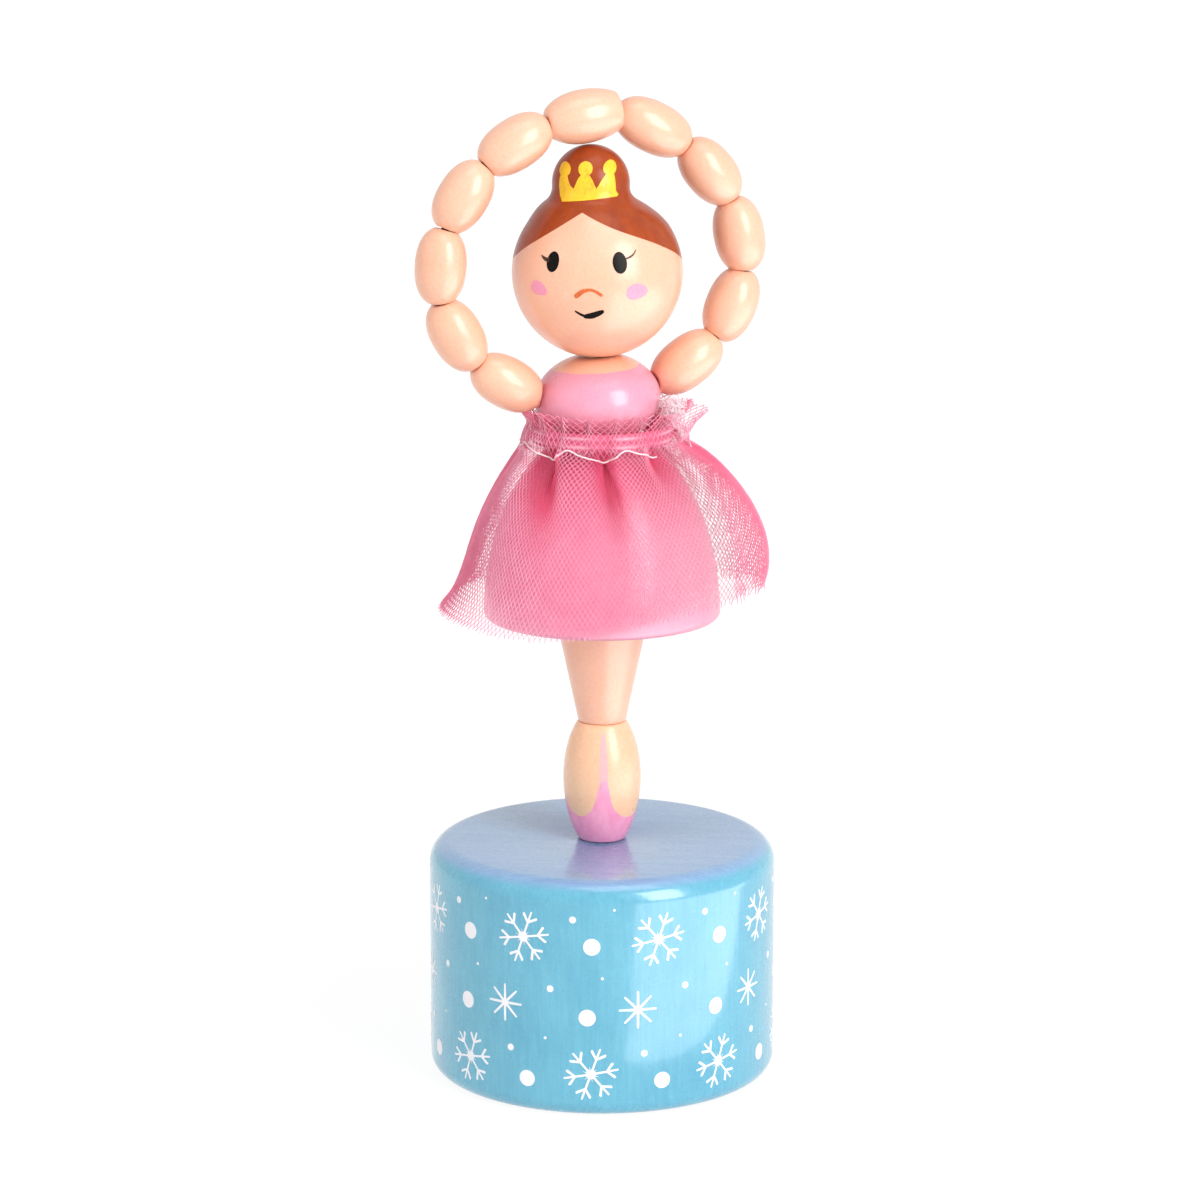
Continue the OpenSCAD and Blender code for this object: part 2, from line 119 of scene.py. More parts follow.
class Nodes:
    """A new material and short ways to fill its node tree."""

    def __init__(self, name: str) -> None:
        """Make the material with an empty principled shader.

        Args:
            name: The material's name.
        """
        self.material = bpy.data.materials.new(name)
        self.material.use_nodes = True
        self.tree = self.material.node_tree
        self.shader = self.tree.nodes["Principled BSDF"]

    def add(self, kind: str, values: dict | None = None, **settings: object) -> bpy.types.Node:
        """Add one node.

        Args:
            kind: The node's type name.
            values: Input sockets by name or number, as sockets to link or as constants.
            settings: Properties of the node.

        Returns:
            The node.
        """
        node = self.tree.nodes.new(kind)
        for key, value in settings.items():
            setattr(node, key, value)
        for key, value in (values or {}).items():
            self.feed(node.inputs[key], value)
        return node

    def feed(self, socket: Socket, value: object) -> None:
        """Link a socket, or set its constant.

        Args:
            socket: The socket.
            value: A socket to link, or a constant.
        """
        if isinstance(value, bpy.types.NodeSocket):
            self.tree.links.new(value, socket)
        else:
            socket.default_value = value

    def give(self, name: str, value: object) -> None:
        """Link an input of the shader, or set its constant."""
        self.feed(self.shader.inputs[name], value)

    def math(self, operation: str, first: object, second: object = 0.0) -> Socket:
        """Add a Math node and give its result."""
        return self.add("ShaderNodeMath", {0: first, 1: second}, operation=operation).outputs[0]

    def place(self, move: Sequence[float] = (0, 0, 0), turn: float = 0.0,
              scale: Sequence[float] = (1, 1, 1)) -> Socket:
        """Give object coordinates in millimetres, moved, turned about Z and stretched.

        Args:
            move: What is taken from the coordinates first, in millimetres.
            turn: Turn about Z after that, in degrees.
            scale: Stretch along each axis at the end.

        Returns:
            The vector socket.
        """
        here = self.add("ShaderNodeTexCoord").outputs["Object"]
        moved = self.add("ShaderNodeMapping", {"Vector": here, "Scale": (1 / MM,) * 3,
                                               "Location": tuple(-m for m in move)})
        turned = self.add("ShaderNodeMapping", {"Vector": moved.outputs[0],
                                                "Rotation": (0, 0, radians(turn))})
        return self.add("ShaderNodeMapping", {"Vector": turned.outputs[0],
                                              "Scale": tuple(scale)}).outputs[0]

    def noise(self, where: Socket, scale: float, detail: float = 3.0, rough: float = 0.55) -> Socket:
        """Add a noise texture on coordinates in millimetres and give its value."""
        return self.add("ShaderNodeTexNoise", {"Vector": where, "Scale": scale, "Detail": detail,
                                               "Roughness": rough}).outputs[0]

    def span(self, value: Socket, low: float, high: float, out_low: float, out_high: float) -> Socket:
        """Map a range of values onto another, held at both ends."""
        return self.add("ShaderNodeMapRange", {0: value, 1: low, 2: high, 3: out_low,
                                               4: out_high}).outputs[0]

    def mix(self, share: Socket, first: object, second: object) -> Socket:
        """Mix two colours.

        Args:
            share: Share of the second.
            first: The first.
            second: The second.

        Returns:
            The mixed colour.
        """
        node = self.add("ShaderNodeMix", {"Factor": share}, data_type="RGBA")
        self.feed(node.inputs[6], first)
        self.feed(node.inputs[7], second)
        return node.outputs[2]

    def tint(self, value: Socket, low: float, high: float, first: str, second: str) -> Socket:
        """Pass from one hex colour to another as a value goes from low to high."""
        return self.mix(self.span(value, low, high, 0.0, 1.0), linear(first), linear(second))

    def curve(self, value: Socket, points: Sequence[Point2], corners: Sequence[int] = ()) -> Socket:
        """Add a float curve through points whose numbers run from 0 to 1.

        Args:
            value: The input.
            points: The curve's points, from left to right.
            corners: Which points are sharp.

        Returns:
            The curve's value.
        """
        node = self.add("ShaderNodeFloatCurve", {"Value": value})
        line = node.mapping.curves[0]
        while len(line.points) < len(points):
            line.points.new(0.5, 0.5)
        for i, place in enumerate(points):
            line.points[i].location = place
            line.points[i].handle_type = "VECTOR" if i in corners else "AUTO_CLAMPED"
        node.mapping.update()
        return node.outputs[0]

    def bump(self, height: Socket, strength: float, depth_mm: float) -> None:
        """Give the shader a bump of that depth.

        Args:
            height: The bump's height from 0 to 1.
            strength: How strongly it shows.
            depth_mm: Its depth.
        """
        node = self.add("ShaderNodeBump", {"Height": height, "Strength": strength,
                                           "Distance": depth_mm * MM})
        self.give("Normal", node.outputs[0])

    def polar(self, move: Sequence[float], turn: float) -> tuple[Socket, Socket, Socket]:
        """Give the angle round an upright axis, the height and the vector itself.

        Args:
            move: A point on the axis, in millimetres.
            turn: The direction that counts as the front, in degrees from -Y towards +X.

        Returns:
            Angle from 0 to 1 with the front at 0.5, height in millimetres, and the vector.
        """
        here = self.place(move, -turn)
        axes = self.add("ShaderNodeSeparateXYZ", {0: here})
        ahead = self.math("MULTIPLY", axes.outputs[1], -1.0)
        angle = self.math("ARCTAN2", axes.outputs[0], ahead)
        share = self.math("MULTIPLY_ADD", angle, 1 / tau)
        share.node.inputs[2].default_value = 0.5
        return share, axes.outputs[2], here


@dataclass(frozen=True)
class Lacquer:
    """Gloss paint over turned wood, with the wood's fibres faintly showing."""

    name: str
    light: str
    deep: str
    grain: Grain = Grain.TURNED
    rough: float = 0.3
    coat: float = 0.5
    coat_rough: float = 0.25
    relief: float = 0.05

    def colour(self, nodes: Nodes) -> Socket:
        """Give the paint's colour, cloudy and streaked along the wood.

        Args:
            nodes: The material that is filled.

        Returns:
            The colour.
        """
        streaks = nodes.noise(nodes.place(scale=self.grain.value), 2.2, 4.0, 0.6)
        clouds = nodes.noise(nodes.place(), 0.12, 2.0, 0.5)
        both = nodes.math("ADD", nodes.math("MULTIPLY", streaks, 0.55),
                          nodes.math("MULTIPLY", clouds, 0.45))
        return nodes.tint(both, 0.38, 0.62, self.light, self.deep)

    def make(self) -> Paint:
        """Build the material.

        Returns:
            The finished material.
        """
        nodes = Nodes(self.name)
        nodes.give("Base Color", self.colour(nodes))
        fine = nodes.noise(nodes.place(scale=self.grain.value), 3.4, 5.0, 0.65)
        smears = nodes.noise(nodes.place(), 0.5, 3.0, 0.6)
        nodes.give("Roughness", nodes.span(smears, 0.3, 0.7, self.rough - 0.05, self.rough + 0.07))
        nodes.give("Coat Weight", self.coat)
        nodes.give("Coat Roughness", self.coat_rough)
        nodes.bump(fine, self.relief, 0.05)
        return nodes.material


@dataclass(frozen=True)
class HairPaint(Lacquer):
    """The head's finish: skin below the hairline and brown hair above it."""

    hair_light: str = "ad4918"
    hair_deep: str = "913714"
    hair_gloss: float = 0.15
    skin_gloss: float = 0.5
    edge_soft: float = 0.0012
    centre: tuple[float, float, float] = (0, 0, 0)
    front: float = 0.0
    hairline: tuple[Point2, ...] = ()
    parting: int = 0

    def colour(self, nodes: Nodes) -> Socket:
        """Give skin and hair, parted by the hairline."""
        skin = super().colour(nodes)
        angle, _, here = nodes.polar(self.centre, self.front)
        unit = nodes.add("ShaderNodeVectorMath", {0: here}, operation="NORMALIZE")
        rise = nodes.math("ARCSINE", nodes.add("ShaderNodeSeparateXYZ", {0: unit.outputs[0]}).outputs[2])
        share = nodes.math("MULTIPLY_ADD", rise, 1 / pi)
        share.node.inputs[2].default_value = 0.5
        edge = nodes.curve(angle, [(a / 360 + 0.5, e / 180 + 0.5) for a, e in self.hairline],
                           (self.parting,))
        over = nodes.math("SUBTRACT", share, edge)
        mask = nodes.span(over, -self.edge_soft, self.edge_soft, 0.0, 1.0)
        nodes.give("Specular IOR Level", nodes.span(mask, 0.0, 1.0, self.skin_gloss, self.hair_gloss))
        nodes.give("Coat Weight", nodes.span(mask, 0.0, 1.0, self.coat, 2 * self.hair_gloss))
        brush = nodes.noise(nodes.place(scale=(0.7, 0.7, 0.25)), 0.8, 4.0, 0.65)
        hair = nodes.tint(brush, 0.25, 0.75, self.hair_light, self.hair_deep)
        return nodes.mix(mask, skin, hair)


@dataclass(frozen=True)
class BodicePaint(Lacquer):
    """The torso's finish: a pink bodice with bare skin above the neckline."""

    skin_light: str = "f8c0a3"
    skin_deep: str = "f4b596"
    seat: tuple[float, float, float] = (0, 0, 0)
    up: tuple[float, float, float] = (0, 0, 1)
    neckline: float = 10.25
    neck_soft: float = 0.05
    wobble: float = 0.12

    def colour(self, nodes: Nodes) -> Socket:
        """Give the bodice and the skin, parted by a level line round the torso."""
        bodice = super().colour(nodes)
        here = nodes.place(self.seat)
        height = nodes.add("ShaderNodeVectorMath", {0: here, 1: self.up}, operation="DOT_PRODUCT")
        wobble = nodes.span(nodes.noise(nodes.place(), 0.35, 1.0), 0.0, 1.0, -self.wobble, self.wobble)
        level = nodes.math("ADD", height.outputs["Value"], wobble)
        mask = nodes.span(level, self.neckline - self.neck_soft, self.neckline + self.neck_soft, 0.0, 1.0)
        skin = nodes.mix(nodes.noise(nodes.place(), 0.6), linear(self.skin_light), linear(self.skin_deep))
        return nodes.mix(mask, bodice, skin)


@dataclass(frozen=True)
class ShoePaint(Lacquer):
    """The foot bead's finish: skin, pink shoes with two scooped openings, and a pale stripe."""

    shoe_light: str = "ffadc8"
    shoe_deep: str = "f794b8"
    stripe: str = "f6b7bd"
    front: float = 0.0
    low: float = 36.0
    tall: float = 16.0
    top_edge: tuple[Point2, ...] = ()
    stripe_half: float = 0.0185
    stripe_top: float = 50.9
    stripe_l: float = 6.0
    stripe_blunt: float = 0.22

    def colour(self, nodes: Nodes) -> Socket:
        """Give skin with the stripe and the shoes painted over it."""
        skin = super().colour(nodes)
        angle, height, _ = nodes.polar((0, 0, 0), self.front)
        aside = nodes.math("ABSOLUTE", nodes.math("SUBTRACT", angle, 0.5))
        left = nodes.span(height, self.stripe_top - self.stripe_l, self.stripe_top, 1.0, 0.0)
        taper = nodes.math("POWER", left, self.stripe_blunt)
        room = nodes.math("SUBTRACT", nodes.math("MULTIPLY", taper, self.stripe_half), aside)
        stripe = nodes.span(room, -0.001, 0.0015, 0.0, 0.9)
        edge = nodes.curve(angle, [(a / 360 + 0.5, (z - self.low) / self.tall) for a, z in self.top_edge])
        level = nodes.math("DIVIDE", nodes.math("SUBTRACT", height, self.low), self.tall)
        shoe = nodes.span(nodes.math("SUBTRACT", edge, level), -0.003, 0.003, 0.0, 1.0)
        brush = nodes.noise(nodes.place(scale=(1, 1, 0.5)), 0.7, 3.0, 0.6)
        pink = nodes.tint(brush, 0.32, 0.68, self.shoe_light, self.shoe_deep)
        return nodes.mix(shoe, nodes.mix(stripe, skin, linear(self.stripe)), pink)


@dataclass(frozen=True)
class DrumPaint(Lacquer):
    """The drum's finish: turquoise with upright brush streaks, and end grain across the top in a paler lavender
    blue that is a painted reflection of the bright room.
    """

    top_reflection_light: str = "8ab2d8"
    top_reflection_deep: str = "7aa3cd"
    top_z: float = 34.3

    def colour(self, nodes: Nodes) -> Socket:
        """Give the side's streaks, and fine lines across the top in its painted reflection colour."""
        side = super().colour(nodes)
        lines = nodes.noise(nodes.place(turn=24.0, scale=(0.06, 1.6, 1.0)), 1.5, 4.0, 0.6)
        # painted reflection: the top and the upper part of its rounded edge are a paler lavender blue, crossed
        # by grain lines
        top = nodes.tint(lines, 0.35, 0.65, self.top_reflection_light, self.top_reflection_deep)
        axes = nodes.add("ShaderNodeSeparateXYZ", {0: nodes.place()})
        mask = nodes.span(axes.outputs[2], self.top_z - 1.4, self.top_z - 0.5, 0.0, 1.0)
        return nodes.mix(mask, side, top)


@dataclass(frozen=True)
class BellPaint(Lacquer):
    """The bell's finish: pink, with painted shadow of the net where the net lies over it, paler towards the lit
    right, and deepest in painted shade up under the gathers.
    """

    # deeper pinks that paint the net's shadow on the covered bell and the shade under the gathers
    net_shadow_light: str = "f196b4"
    net_shadow_deep: str = "ed8bab"
    shade: str = "df4f79"
    rim: float = 0.0
    hemline: tuple[Point2, ...] = ()

    def colour(self, nodes: Nodes) -> Socket:
        """Give the open rim and the covered part in painted net shadow, parted softly along the hem."""
        open_part = super().colour(nodes)
        angle, height, _ = nodes.polar((0, 0, self.rim), 0.0)
        edge = nodes.curve(angle, [(a / 360 + 0.5, h / 10) for a, h in self.hemline])
        over = nodes.math("SUBTRACT", nodes.math("DIVIDE", height, 10.0), edge)
        clouds = nodes.noise(nodes.place(), 0.3, 3.0, 0.6)
        # painted shadow: the net's pink-tinted shade on the part it covers
        under = nodes.tint(clouds, 0.35, 0.65, self.net_shadow_light, self.net_shadow_deep)
        # painted light: the covered part goes back towards the open pink on the lit right side
        under = nodes.mix(nodes.span(angle, 0.49, 0.58, 0.0, 0.75), under, open_part)
        # painted shade, deepest up under the gathers
        under = nodes.mix(nodes.span(height, 13.5, 23.0, 0.0, 0.9), under, linear(self.shade))
        return nodes.mix(nodes.span(over, -0.06, 0.1, 0.0, 1.0), open_part, under)


@dataclass(frozen=True)
class Film:
    """Screen-printed or brushed paint that lies on the lacquer, and lets it through where it is thin."""

    name: str
    light: str
    deep: str
    rough: float = 0.42
    gloss: float = 0.5
    thin: str = ""

    def make(self) -> Paint:
        """Build the material.

        Returns:
            The finished material.
        """
        nodes = Nodes(self.name)
        cover = nodes.noise(nodes.place(), 3.0, 4.0, 0.65)
        paint = nodes.tint(cover, 0.35, 0.7, self.light, self.deep)
        if self.thin:
            smear = nodes.noise(nodes.place(scale=(1.0, 1.0, 0.55)), 0.75, 4.0, 0.7)
            paint = nodes.mix(nodes.span(smear, 0.56, 0.76, 0.0, 0.75), paint, linear(self.thin))
        nodes.give("Base Color", paint)
        nodes.give("Roughness", nodes.span(cover, 0.3, 0.7, self.rough - 0.08, self.rough + 0.08))
        nodes.give("Specular IOR Level", self.gloss)
        nodes.bump(cover, 0.12, 0.03)
        return nodes.material


@dataclass(frozen=True)
class Fibre:
    """Yarn, net, cord and band: soft, with a sheen and fine twisted fibres."""

    name: str
    light: str
    deep: str
    fine: float = 6.0
    sheen: float = 0.3
    rough: float = 0.6

    def colour(self, nodes: Nodes, fibres: Socket) -> Socket:
        """Give the yarn's colour, cloudy and flecked by its fibres.

        Args:
            nodes: The material that is filled.
            fibres: Noise of its fibres.

        Returns:
            The colour.
        """
        tone = nodes.noise(nodes.place(), 0.35, 2.0)
        both = nodes.math("ADD", nodes.math("MULTIPLY", tone, 0.6), nodes.math("MULTIPLY", fibres, 0.4))
        return nodes.tint(both, 0.38, 0.62, self.light, self.deep)

    def make(self) -> Paint:
        """Build the material.

        Returns:
            The finished material.
        """
        nodes = Nodes(self.name)
        fibres = nodes.noise(nodes.place(scale=(1, 1, 2.5)), self.fine, 3.0, 0.6)
        nodes.give("Base Color", self.colour(nodes, fibres))
        nodes.give("Roughness", nodes.span(fibres, 0.3, 0.7, self.rough - 0.1, self.rough + 0.1))
        nodes.give("Sheen Weight", self.sheen)
        nodes.give("Sheen Roughness", 0.4)
        nodes.give("Sheen Tint", linear(self.light))
        nodes.bump(fibres, 0.4, 0.04)
        return nodes.material


@dataclass(frozen=True)
class NetYarn(Fibre):
    """The net's yarn: deeper in colour along the gathers' valleys, partly where the net lies in layers and
    partly painted shade, and paler in a painted highlight.
    """

    bunched_and_shaded: str = "ea4472"
    spread: str = "f6ccda"

    def colour(self, nodes: Nodes, fibres: Socket) -> Socket:
        """Give the yarn's colour, deeper along the valleys of the gathers in partly painted shade, and paler in
        a painted highlight where it lies spread.
        """
        deep = nodes.add("ShaderNodeAttribute", attribute_name="gather").outputs["Fac"]
        # painted highlight: paler yarn where the attribute falls below zero
        plain = nodes.mix(nodes.span(deep, -0.4, 0.0, 0.8, 0.0), super().colour(nodes, fibres),
                          linear(self.spread))
        # deeper along the valleys: partly the net lying in layers, partly painted shade
        return nodes.mix(nodes.span(deep, 0.05, 0.55, 0.0, 0.9), plain, linear(self.bunched_and_shaded))


@dataclass(frozen=True)
class BareWood:
    """Sanded wood with its rings showing."""

    name: str = "bare_wood"
    early: str = "dcb98a"
    late: str = "b98c58"

    def make(self) -> Paint:
        """Build the material.

        Returns:
            The finished material.
        """
        nodes = Nodes(self.name)
        where = nodes.place((14.0, 6.0, 0.0), scale=(1, 1, 0.1))
        rings = nodes.add("ShaderNodeTexWave", {"Vector": where, "Scale": 0.35, "Distortion": 2.2,
                                                "Detail": 3.0, "Detail Scale": 1.5},
                          wave_type="RINGS", rings_direction="Z").outputs[1]
        pores = nodes.noise(nodes.place(scale=(1, 1, 0.15)), 3.5, 4.0, 0.65)
        tone = nodes.math("ADD", nodes.math("MULTIPLY", rings, 0.6), nodes.math("MULTIPLY", pores, 0.4))
        nodes.give("Base Color", nodes.tint(tone, 0.2, 0.8, self.early, self.late))
        nodes.give("Roughness", nodes.span(pores, 0.3, 0.7, 0.5, 0.68))
        nodes.bump(pores, 0.25, 0.05)
        return nodes.material


@dataclass(frozen=True)
class SpringSteel:
    """Drawn wire with fine lines along it."""

    name: str = "spring_wire"
    metal: str = "c9cacd"
    dark: str = "a3a5aa"

    def make(self) -> Paint:
        """Build the material.

        Returns:
            The finished material.
        """
        nodes = Nodes(self.name)
        lines = nodes.noise(nodes.place(scale=(0.4, 0.4, 3.0)), 3.0, 4.0, 0.6)
        nodes.give("Base Color", nodes.mix(lines, linear(self.metal), linear(self.dark)))
        nodes.give("Metallic", 1.0)
        nodes.give("Roughness", nodes.span(lines, 0.3, 0.7, 0.24, 0.4))
        nodes.bump(lines, 0.15, 0.02)
        return nodes.material


SKIN = Lacquer("skin_lacquer", "f8c0a3", "f4b596", Grain.TURNED, 0.34, 0.5, 0.2, 0.03)
PINK = Lacquer("pink_lacquer", "f2a1b8", "ee97b0", Grain.UPRIGHT, 0.36, 0.35, 0.2)
BLACK_CORD = Fibre("black_cord", "2a2628", "100e10", 9.0, 0.15, 0.75)
# the net's deep pink paints shade along the gathers' valleys, its pale pink a highlight on the lit right
NET = NetYarn("pink_net", "f9aec6", "f49bb8", 3.0, 0.4, 0.5)
# the elastic's deeper colour paints shade in its grooves, its pale one a highlight on the rib crests
BAND = NetYarn("elastic_band", "ee86a6", "e67498", 8.0, 0.3, 0.65, "d8416b", "fdd3e0")
THREAD = Fibre("stitch_thread", "fff0f2", "f7cdd7", 9.0, 0.3, 0.6)
TUFT = Fibre("seam_tuft", "fff3f6", "fbdfe7", 7.0, 0.5, 0.7)
SNOW = Film("snow_white_paint", "fbf8fb", "efedf2")
CROWN = Film("crown_yellow_paint", "ffd334", "f4bd22", 0.32, 0.5, "b9702b")
INK = Film("black_face_paint", "0a0807", "161311", 0.26, 0.1)
BLUSH = Film("cheek_pink_paint", "f5a3bd", "ef8fae", 0.4)
NOSE = Film("nose_orange_paint", "df7038", "c8571f", 0.4)
LASH = Film("lash_brown_paint", "3a251c", "5e3a2b", 0.4, 0.3)


def lathe(profile: Sequence[Point2], steps: int, closed: bool = True) -> Mesh:
    """Turn a profile about Z.

    Args:
        profile: Radius and height of each point, in millimetres.
        steps: Faces round the axis.
        closed: Whether the last point joins the first.

    Returns:
        The turned mesh.
    """
    bm = bmesh.new()
    verts = [bm.verts.new((r, 0.0, z)) for r, z in profile]
    after = verts[1:] + (verts[:1] if closed else [])
    edges = [bm.edges.new(pair) for pair in zip(verts, after)]
    bmesh.ops.spin(bm, geom=verts + edges, cent=(0, 0, 0), axis=(0, 0, 1), angle=tau, steps=steps,
                   use_merge=True)
    bmesh.ops.remove_doubles(bm, verts=bm.verts[:], dist=1e-4)
    bmesh.ops.recalc_face_normals(bm, faces=bm.faces[:])
    return bm


def soften(bm: Mesh, width: float, segments: int = 3, least: float = 0.6) -> None:
    """Round the sharp edges of a turned piece.

    Args:
        bm: The mesh, in millimetres.
        width: Width of the round.
        segments: Faces across it.
        least: Edges that turn by less than this, in radians, stay.
    """
    sharp = [e for e in bm.edges if e.is_manifold and e.calc_face_angle() > least]
    bmesh.ops.bevel(bm, geom=sharp, offset=width, offset_type="OFFSET", segments=segments, profile=0.5,
                    affect="EDGES", clamp_overlap=True, material=-1)


def around(r: float, a: float, z: float) -> Vector:
    """Point at a radius, an angle from the front in radians, and a height."""
    return Vector((r * sin(a), -r * cos(a), z))


def rotated(points: Sequence[Point2], turn: float) -> Outline:
    """Turn a flat shape about zero."""
    c, s = cos(radians(turn)), sin(radians(turn))
    return [(x * c - y * s, x * s + y * c) for x, y in points]


def shift(bm: Mesh, z: float, x: float = 0.0) -> None:
    """Move a whole mesh up, and to the side."""
    bmesh.ops.translate(bm, vec=(x, 0, z), verts=bm.verts[:])


def tube(points: Sequence[Vector], radius: float, rings: int = 3, cyclic: bool = False) -> Mesh:
    """Sweep a round tube along points.

    Args:
        points: The middle line, in millimetres.
        radius: The tube's radius.
        rings: How fine its section is.
        cyclic: Whether it is a closed loop.

    Returns:
        The tube as a mesh.
    """
    data = bpy.data.curves.new("path", "CURVE")
    data.dimensions = "3D"
    data.bevel_depth = radius
    data.bevel_resolution = rings
    data.use_fill_caps = not cyclic
    spline = data.splines.new("POLY")
    spline.points.add(len(points) - 1)
    for node, p in zip(spline.points, points):
        node.co = (*p, 1.0)
    spline.use_cyclic_u = cyclic
    holder = bpy.data.objects.new("path", data)
    bm = bmesh.new()
    mesh = holder.to_mesh()
    bm.from_mesh(mesh)
    holder.to_mesh_clear()
    bpy.data.objects.remove(holder)
    bpy.data.curves.remove(data)
    bmesh.ops.remove_doubles(bm, verts=bm.verts[:], dist=1e-4)
    bmesh.ops.recalc_face_normals(bm, faces=bm.faces[:])
    return bm


def merged(parts: Sequence[Mesh]) -> Mesh:
    """Put several meshes into one and free them.

    Args:
        parts: The meshes.

    Returns:
        The one mesh.
    """
    whole = bmesh.new()
    for bm in parts:
        mesh = bpy.data.meshes.new("part")
        bm.to_mesh(mesh)
        bm.free()
        whole.from_mesh(mesh)
        bpy.data.meshes.remove(mesh)
    return whole


def piece(bm: Mesh, name: str, finish: Paint, crease: float = 35.0) -> Thing:
    """Make an object of a mesh in millimetres, with its place in the mesh.

    Args:
        bm: The mesh, which is freed.
        name: The piece's name.
        finish: Its material.
        crease: Edges that turn by more than this, in degrees, stay sharp.

    Returns:
        The object.
    """
    bmesh.ops.scale(bm, vec=(MM, MM, MM), verts=bm.verts[:])
    mesh = bpy.data.meshes.new(name)
    bm.to_mesh(mesh)
    bm.free()
    mesh.shade_smooth()
    mesh.set_sharp_from_angle(angle=radians(crease))
    mesh.materials.append(finish)
    made = bpy.data.objects.new(name, mesh)
    bpy.context.scene.collection.objects.link(made)
    LOG.info("%s: %d faces", name, len(mesh.polygons))
    return made


def arc(x: float, y: float, r: float, start: float, stop: float, steps: int) -> Outline:
    """Points on an arc, angles in degrees."""
    turns = [radians(start + (stop - start) * i / steps) for i in range(steps + 1)]
    return [(x + r * cos(t), y + r * sin(t)) for t in turns]


def stroke(points: Sequence[Point2], widths: Sequence[float]) -> Outline:
    """Outline a brush stroke with round ends.

    Args:
        points: The middle of the stroke.
        widths: Its width at each point.

    Returns:
        The outline.
    """
    line = [Vector((x, y)) for x, y in points]
    left: Outline = []
    right: Outline = []
    last = len(line) - 1
    for i, p in enumerate(line):
        along = (line[min(i + 1, last)] - line[max(i - 1, 0)]).normalized()
        off = Vector((-along.y, along.x)) * widths[i] / 2
        left.append(tuple(p + off))
        right.append(tuple(p - off))
    ends = []
    for p, q, w in ((line[last], line[last - 1], widths[last]), (line[0], line[1], widths[0])):
        way = degrees(atan2(p.y - q.y, p.x - q.x))
        ends.append(arc(p.x, p.y, w / 2, way + 60, way - 60, 4))
    return left + ends[0] + right[::-1] + ends[1]


def bent(points: Sequence[Point2], steps: int = 4) -> Outline:
    """Run a smooth line through points.

    Args:
        points: Points on the line.
        steps: Steps from each to the next.

    Returns:
        The line's points.
    """
    line = [points[0], *points, points[-1]]
    out: Outline = []
    for a, b, c, d in zip(line, line[1:], line[2:], line[3:]):
        for i in range(steps):
            t = i / steps
            out.append(tuple(
                0.5 * (2 * q + (r - p) * t + (2 * p - 5 * q + 4 * r - s) * t * t
                       + (3 * q - p - 3 * r + s) * t ** 3)
                for p, q, r, s in zip(a, b, c, d)))
    return out + [points[-1]]


def film(outlines: Sequence[Outline], place: Place, pitch: float) -> Mesh:
    """Lay flat painted shapes on a curved surface as a thin film.

    Args:
        outlines: Flat shapes in millimetres.
        place: Gives the point of the surface for a flat point and a height over it.
        pitch: How closely the film follows the surface.

    Returns:
        The film, in millimetres.
    """
    bm = bmesh.new()
    for outline in outlines:
        bm.faces.new([bm.verts.new((x, y, 0)) for x, y in outline])
    bmesh.ops.remove_doubles(bm, verts=bm.verts[:], dist=1e-5)
    bmesh.ops.triangulate(bm, faces=bm.faces[:])
    for axis in (Vector((1, 0, 0)), Vector((0, 1, 0))):
        places = [v.co.dot(axis) for v in bm.verts]
        first, last = min(places), max(places)
        for i in range(1, ceil((last - first) / pitch)):
            bmesh.ops.bisect_plane(bm, geom=bm.verts[:] + bm.edges[:] + bm.faces[:], dist=1e-5,
                                   plane_co=axis * (first + i * pitch), plane_no=axis)
    for v in bm.verts:
        v.co = place(v.co.x, v.co.y, FILM_LIFT)
    bmesh.ops.recalc_face_normals(bm, faces=bm.faces[:])
    for group in islands(bm):
        middle = sum((f.calc_center_median() for f in group), Vector()) / len(group)
        normal = sum((f.normal for f in group), Vector())
        if normal.dot(middle - place_axis(middle)) < 0:
            bmesh.ops.reverse_faces(bm, faces=group)
    bmesh.ops.solidify(bm, geom=bm.faces[:], thickness=FILM_DEPTH)
    return bm


def place_axis(point: Vector) -> Vector:
    """The point of the toy's upright axis at a point's height, from which outside is judged."""
    return Vector((0.0, 0.0, point.z - AXIS_DROP))


def islands(bm: Mesh) -> list[list[bmesh.types.BMFace]]:
    """Part a mesh's faces into groups that join along edges.

    Args:
        bm: The mesh.

    Returns:
        The groups of faces.
    """
    left = set(bm.faces)
    groups = []
    while left:
        todo = [left.pop()]
        group = []
        while todo:
            face = todo.pop()
            group.append(face)
            for edge in face.edges:
                for other in edge.link_faces:
                    if other in left:
                        left.remove(other)
                        todo.append(other)
        groups.append(group)
    return groups


def oval_r(height: float, r: float, end: float, end_r: float) -> float:
    """Radius of half an oval at a height from its widest place."""
    return r * sqrt(max(0.0, 1 - (height / end) ** 2 * (1 - (end_r / r) ** 2)))


def bead_r(z: float, length: float, wide: float, low_r: float, high_r: float, widest: float = 0.5) -> float:
    """Radius of a turned oval bead at a height over its lower end.

    Args:
        z: The height.
        length: The bead's length.
        wide: Its greatest diameter.
        low_r: Radius of its lower end.
        high_r: Radius of its upper end.
        widest: Share of the length at which it is widest.

    Returns:
        The radius.
    """
    low = length * widest
    if z < low:
        return oval_r(low - z, wide / 2, low, low_r)
    return oval_r(z - low, wide / 2, length - low, high_r)


def oval_profile(length: float, wide: float, low_r: float, high_r: float, bore: float,
                 widest: float = 0.5, steps: int = 30) -> list[Point2]:
    """Profile of a turned oval bead with flat ends and a bore, standing on zero.

    Args:
        length: The bead's length.
        wide: Its greatest diameter.
        low_r: Radius of its lower end.
        high_r: Radius of its upper end.
        bore: Diameter of the bore.
        widest: Share of the length at which it is widest.
        steps: Steps along its side.

    Returns:
        Radius and height of each point.
    """
    heights = [length * i / steps for i in range(steps + 1)]
    side = [(bead_r(z, length, wide, low_r, high_r, widest), z) for z in heights]
    return [(bore / 2, 0.0), *side, (bore / 2, length)]


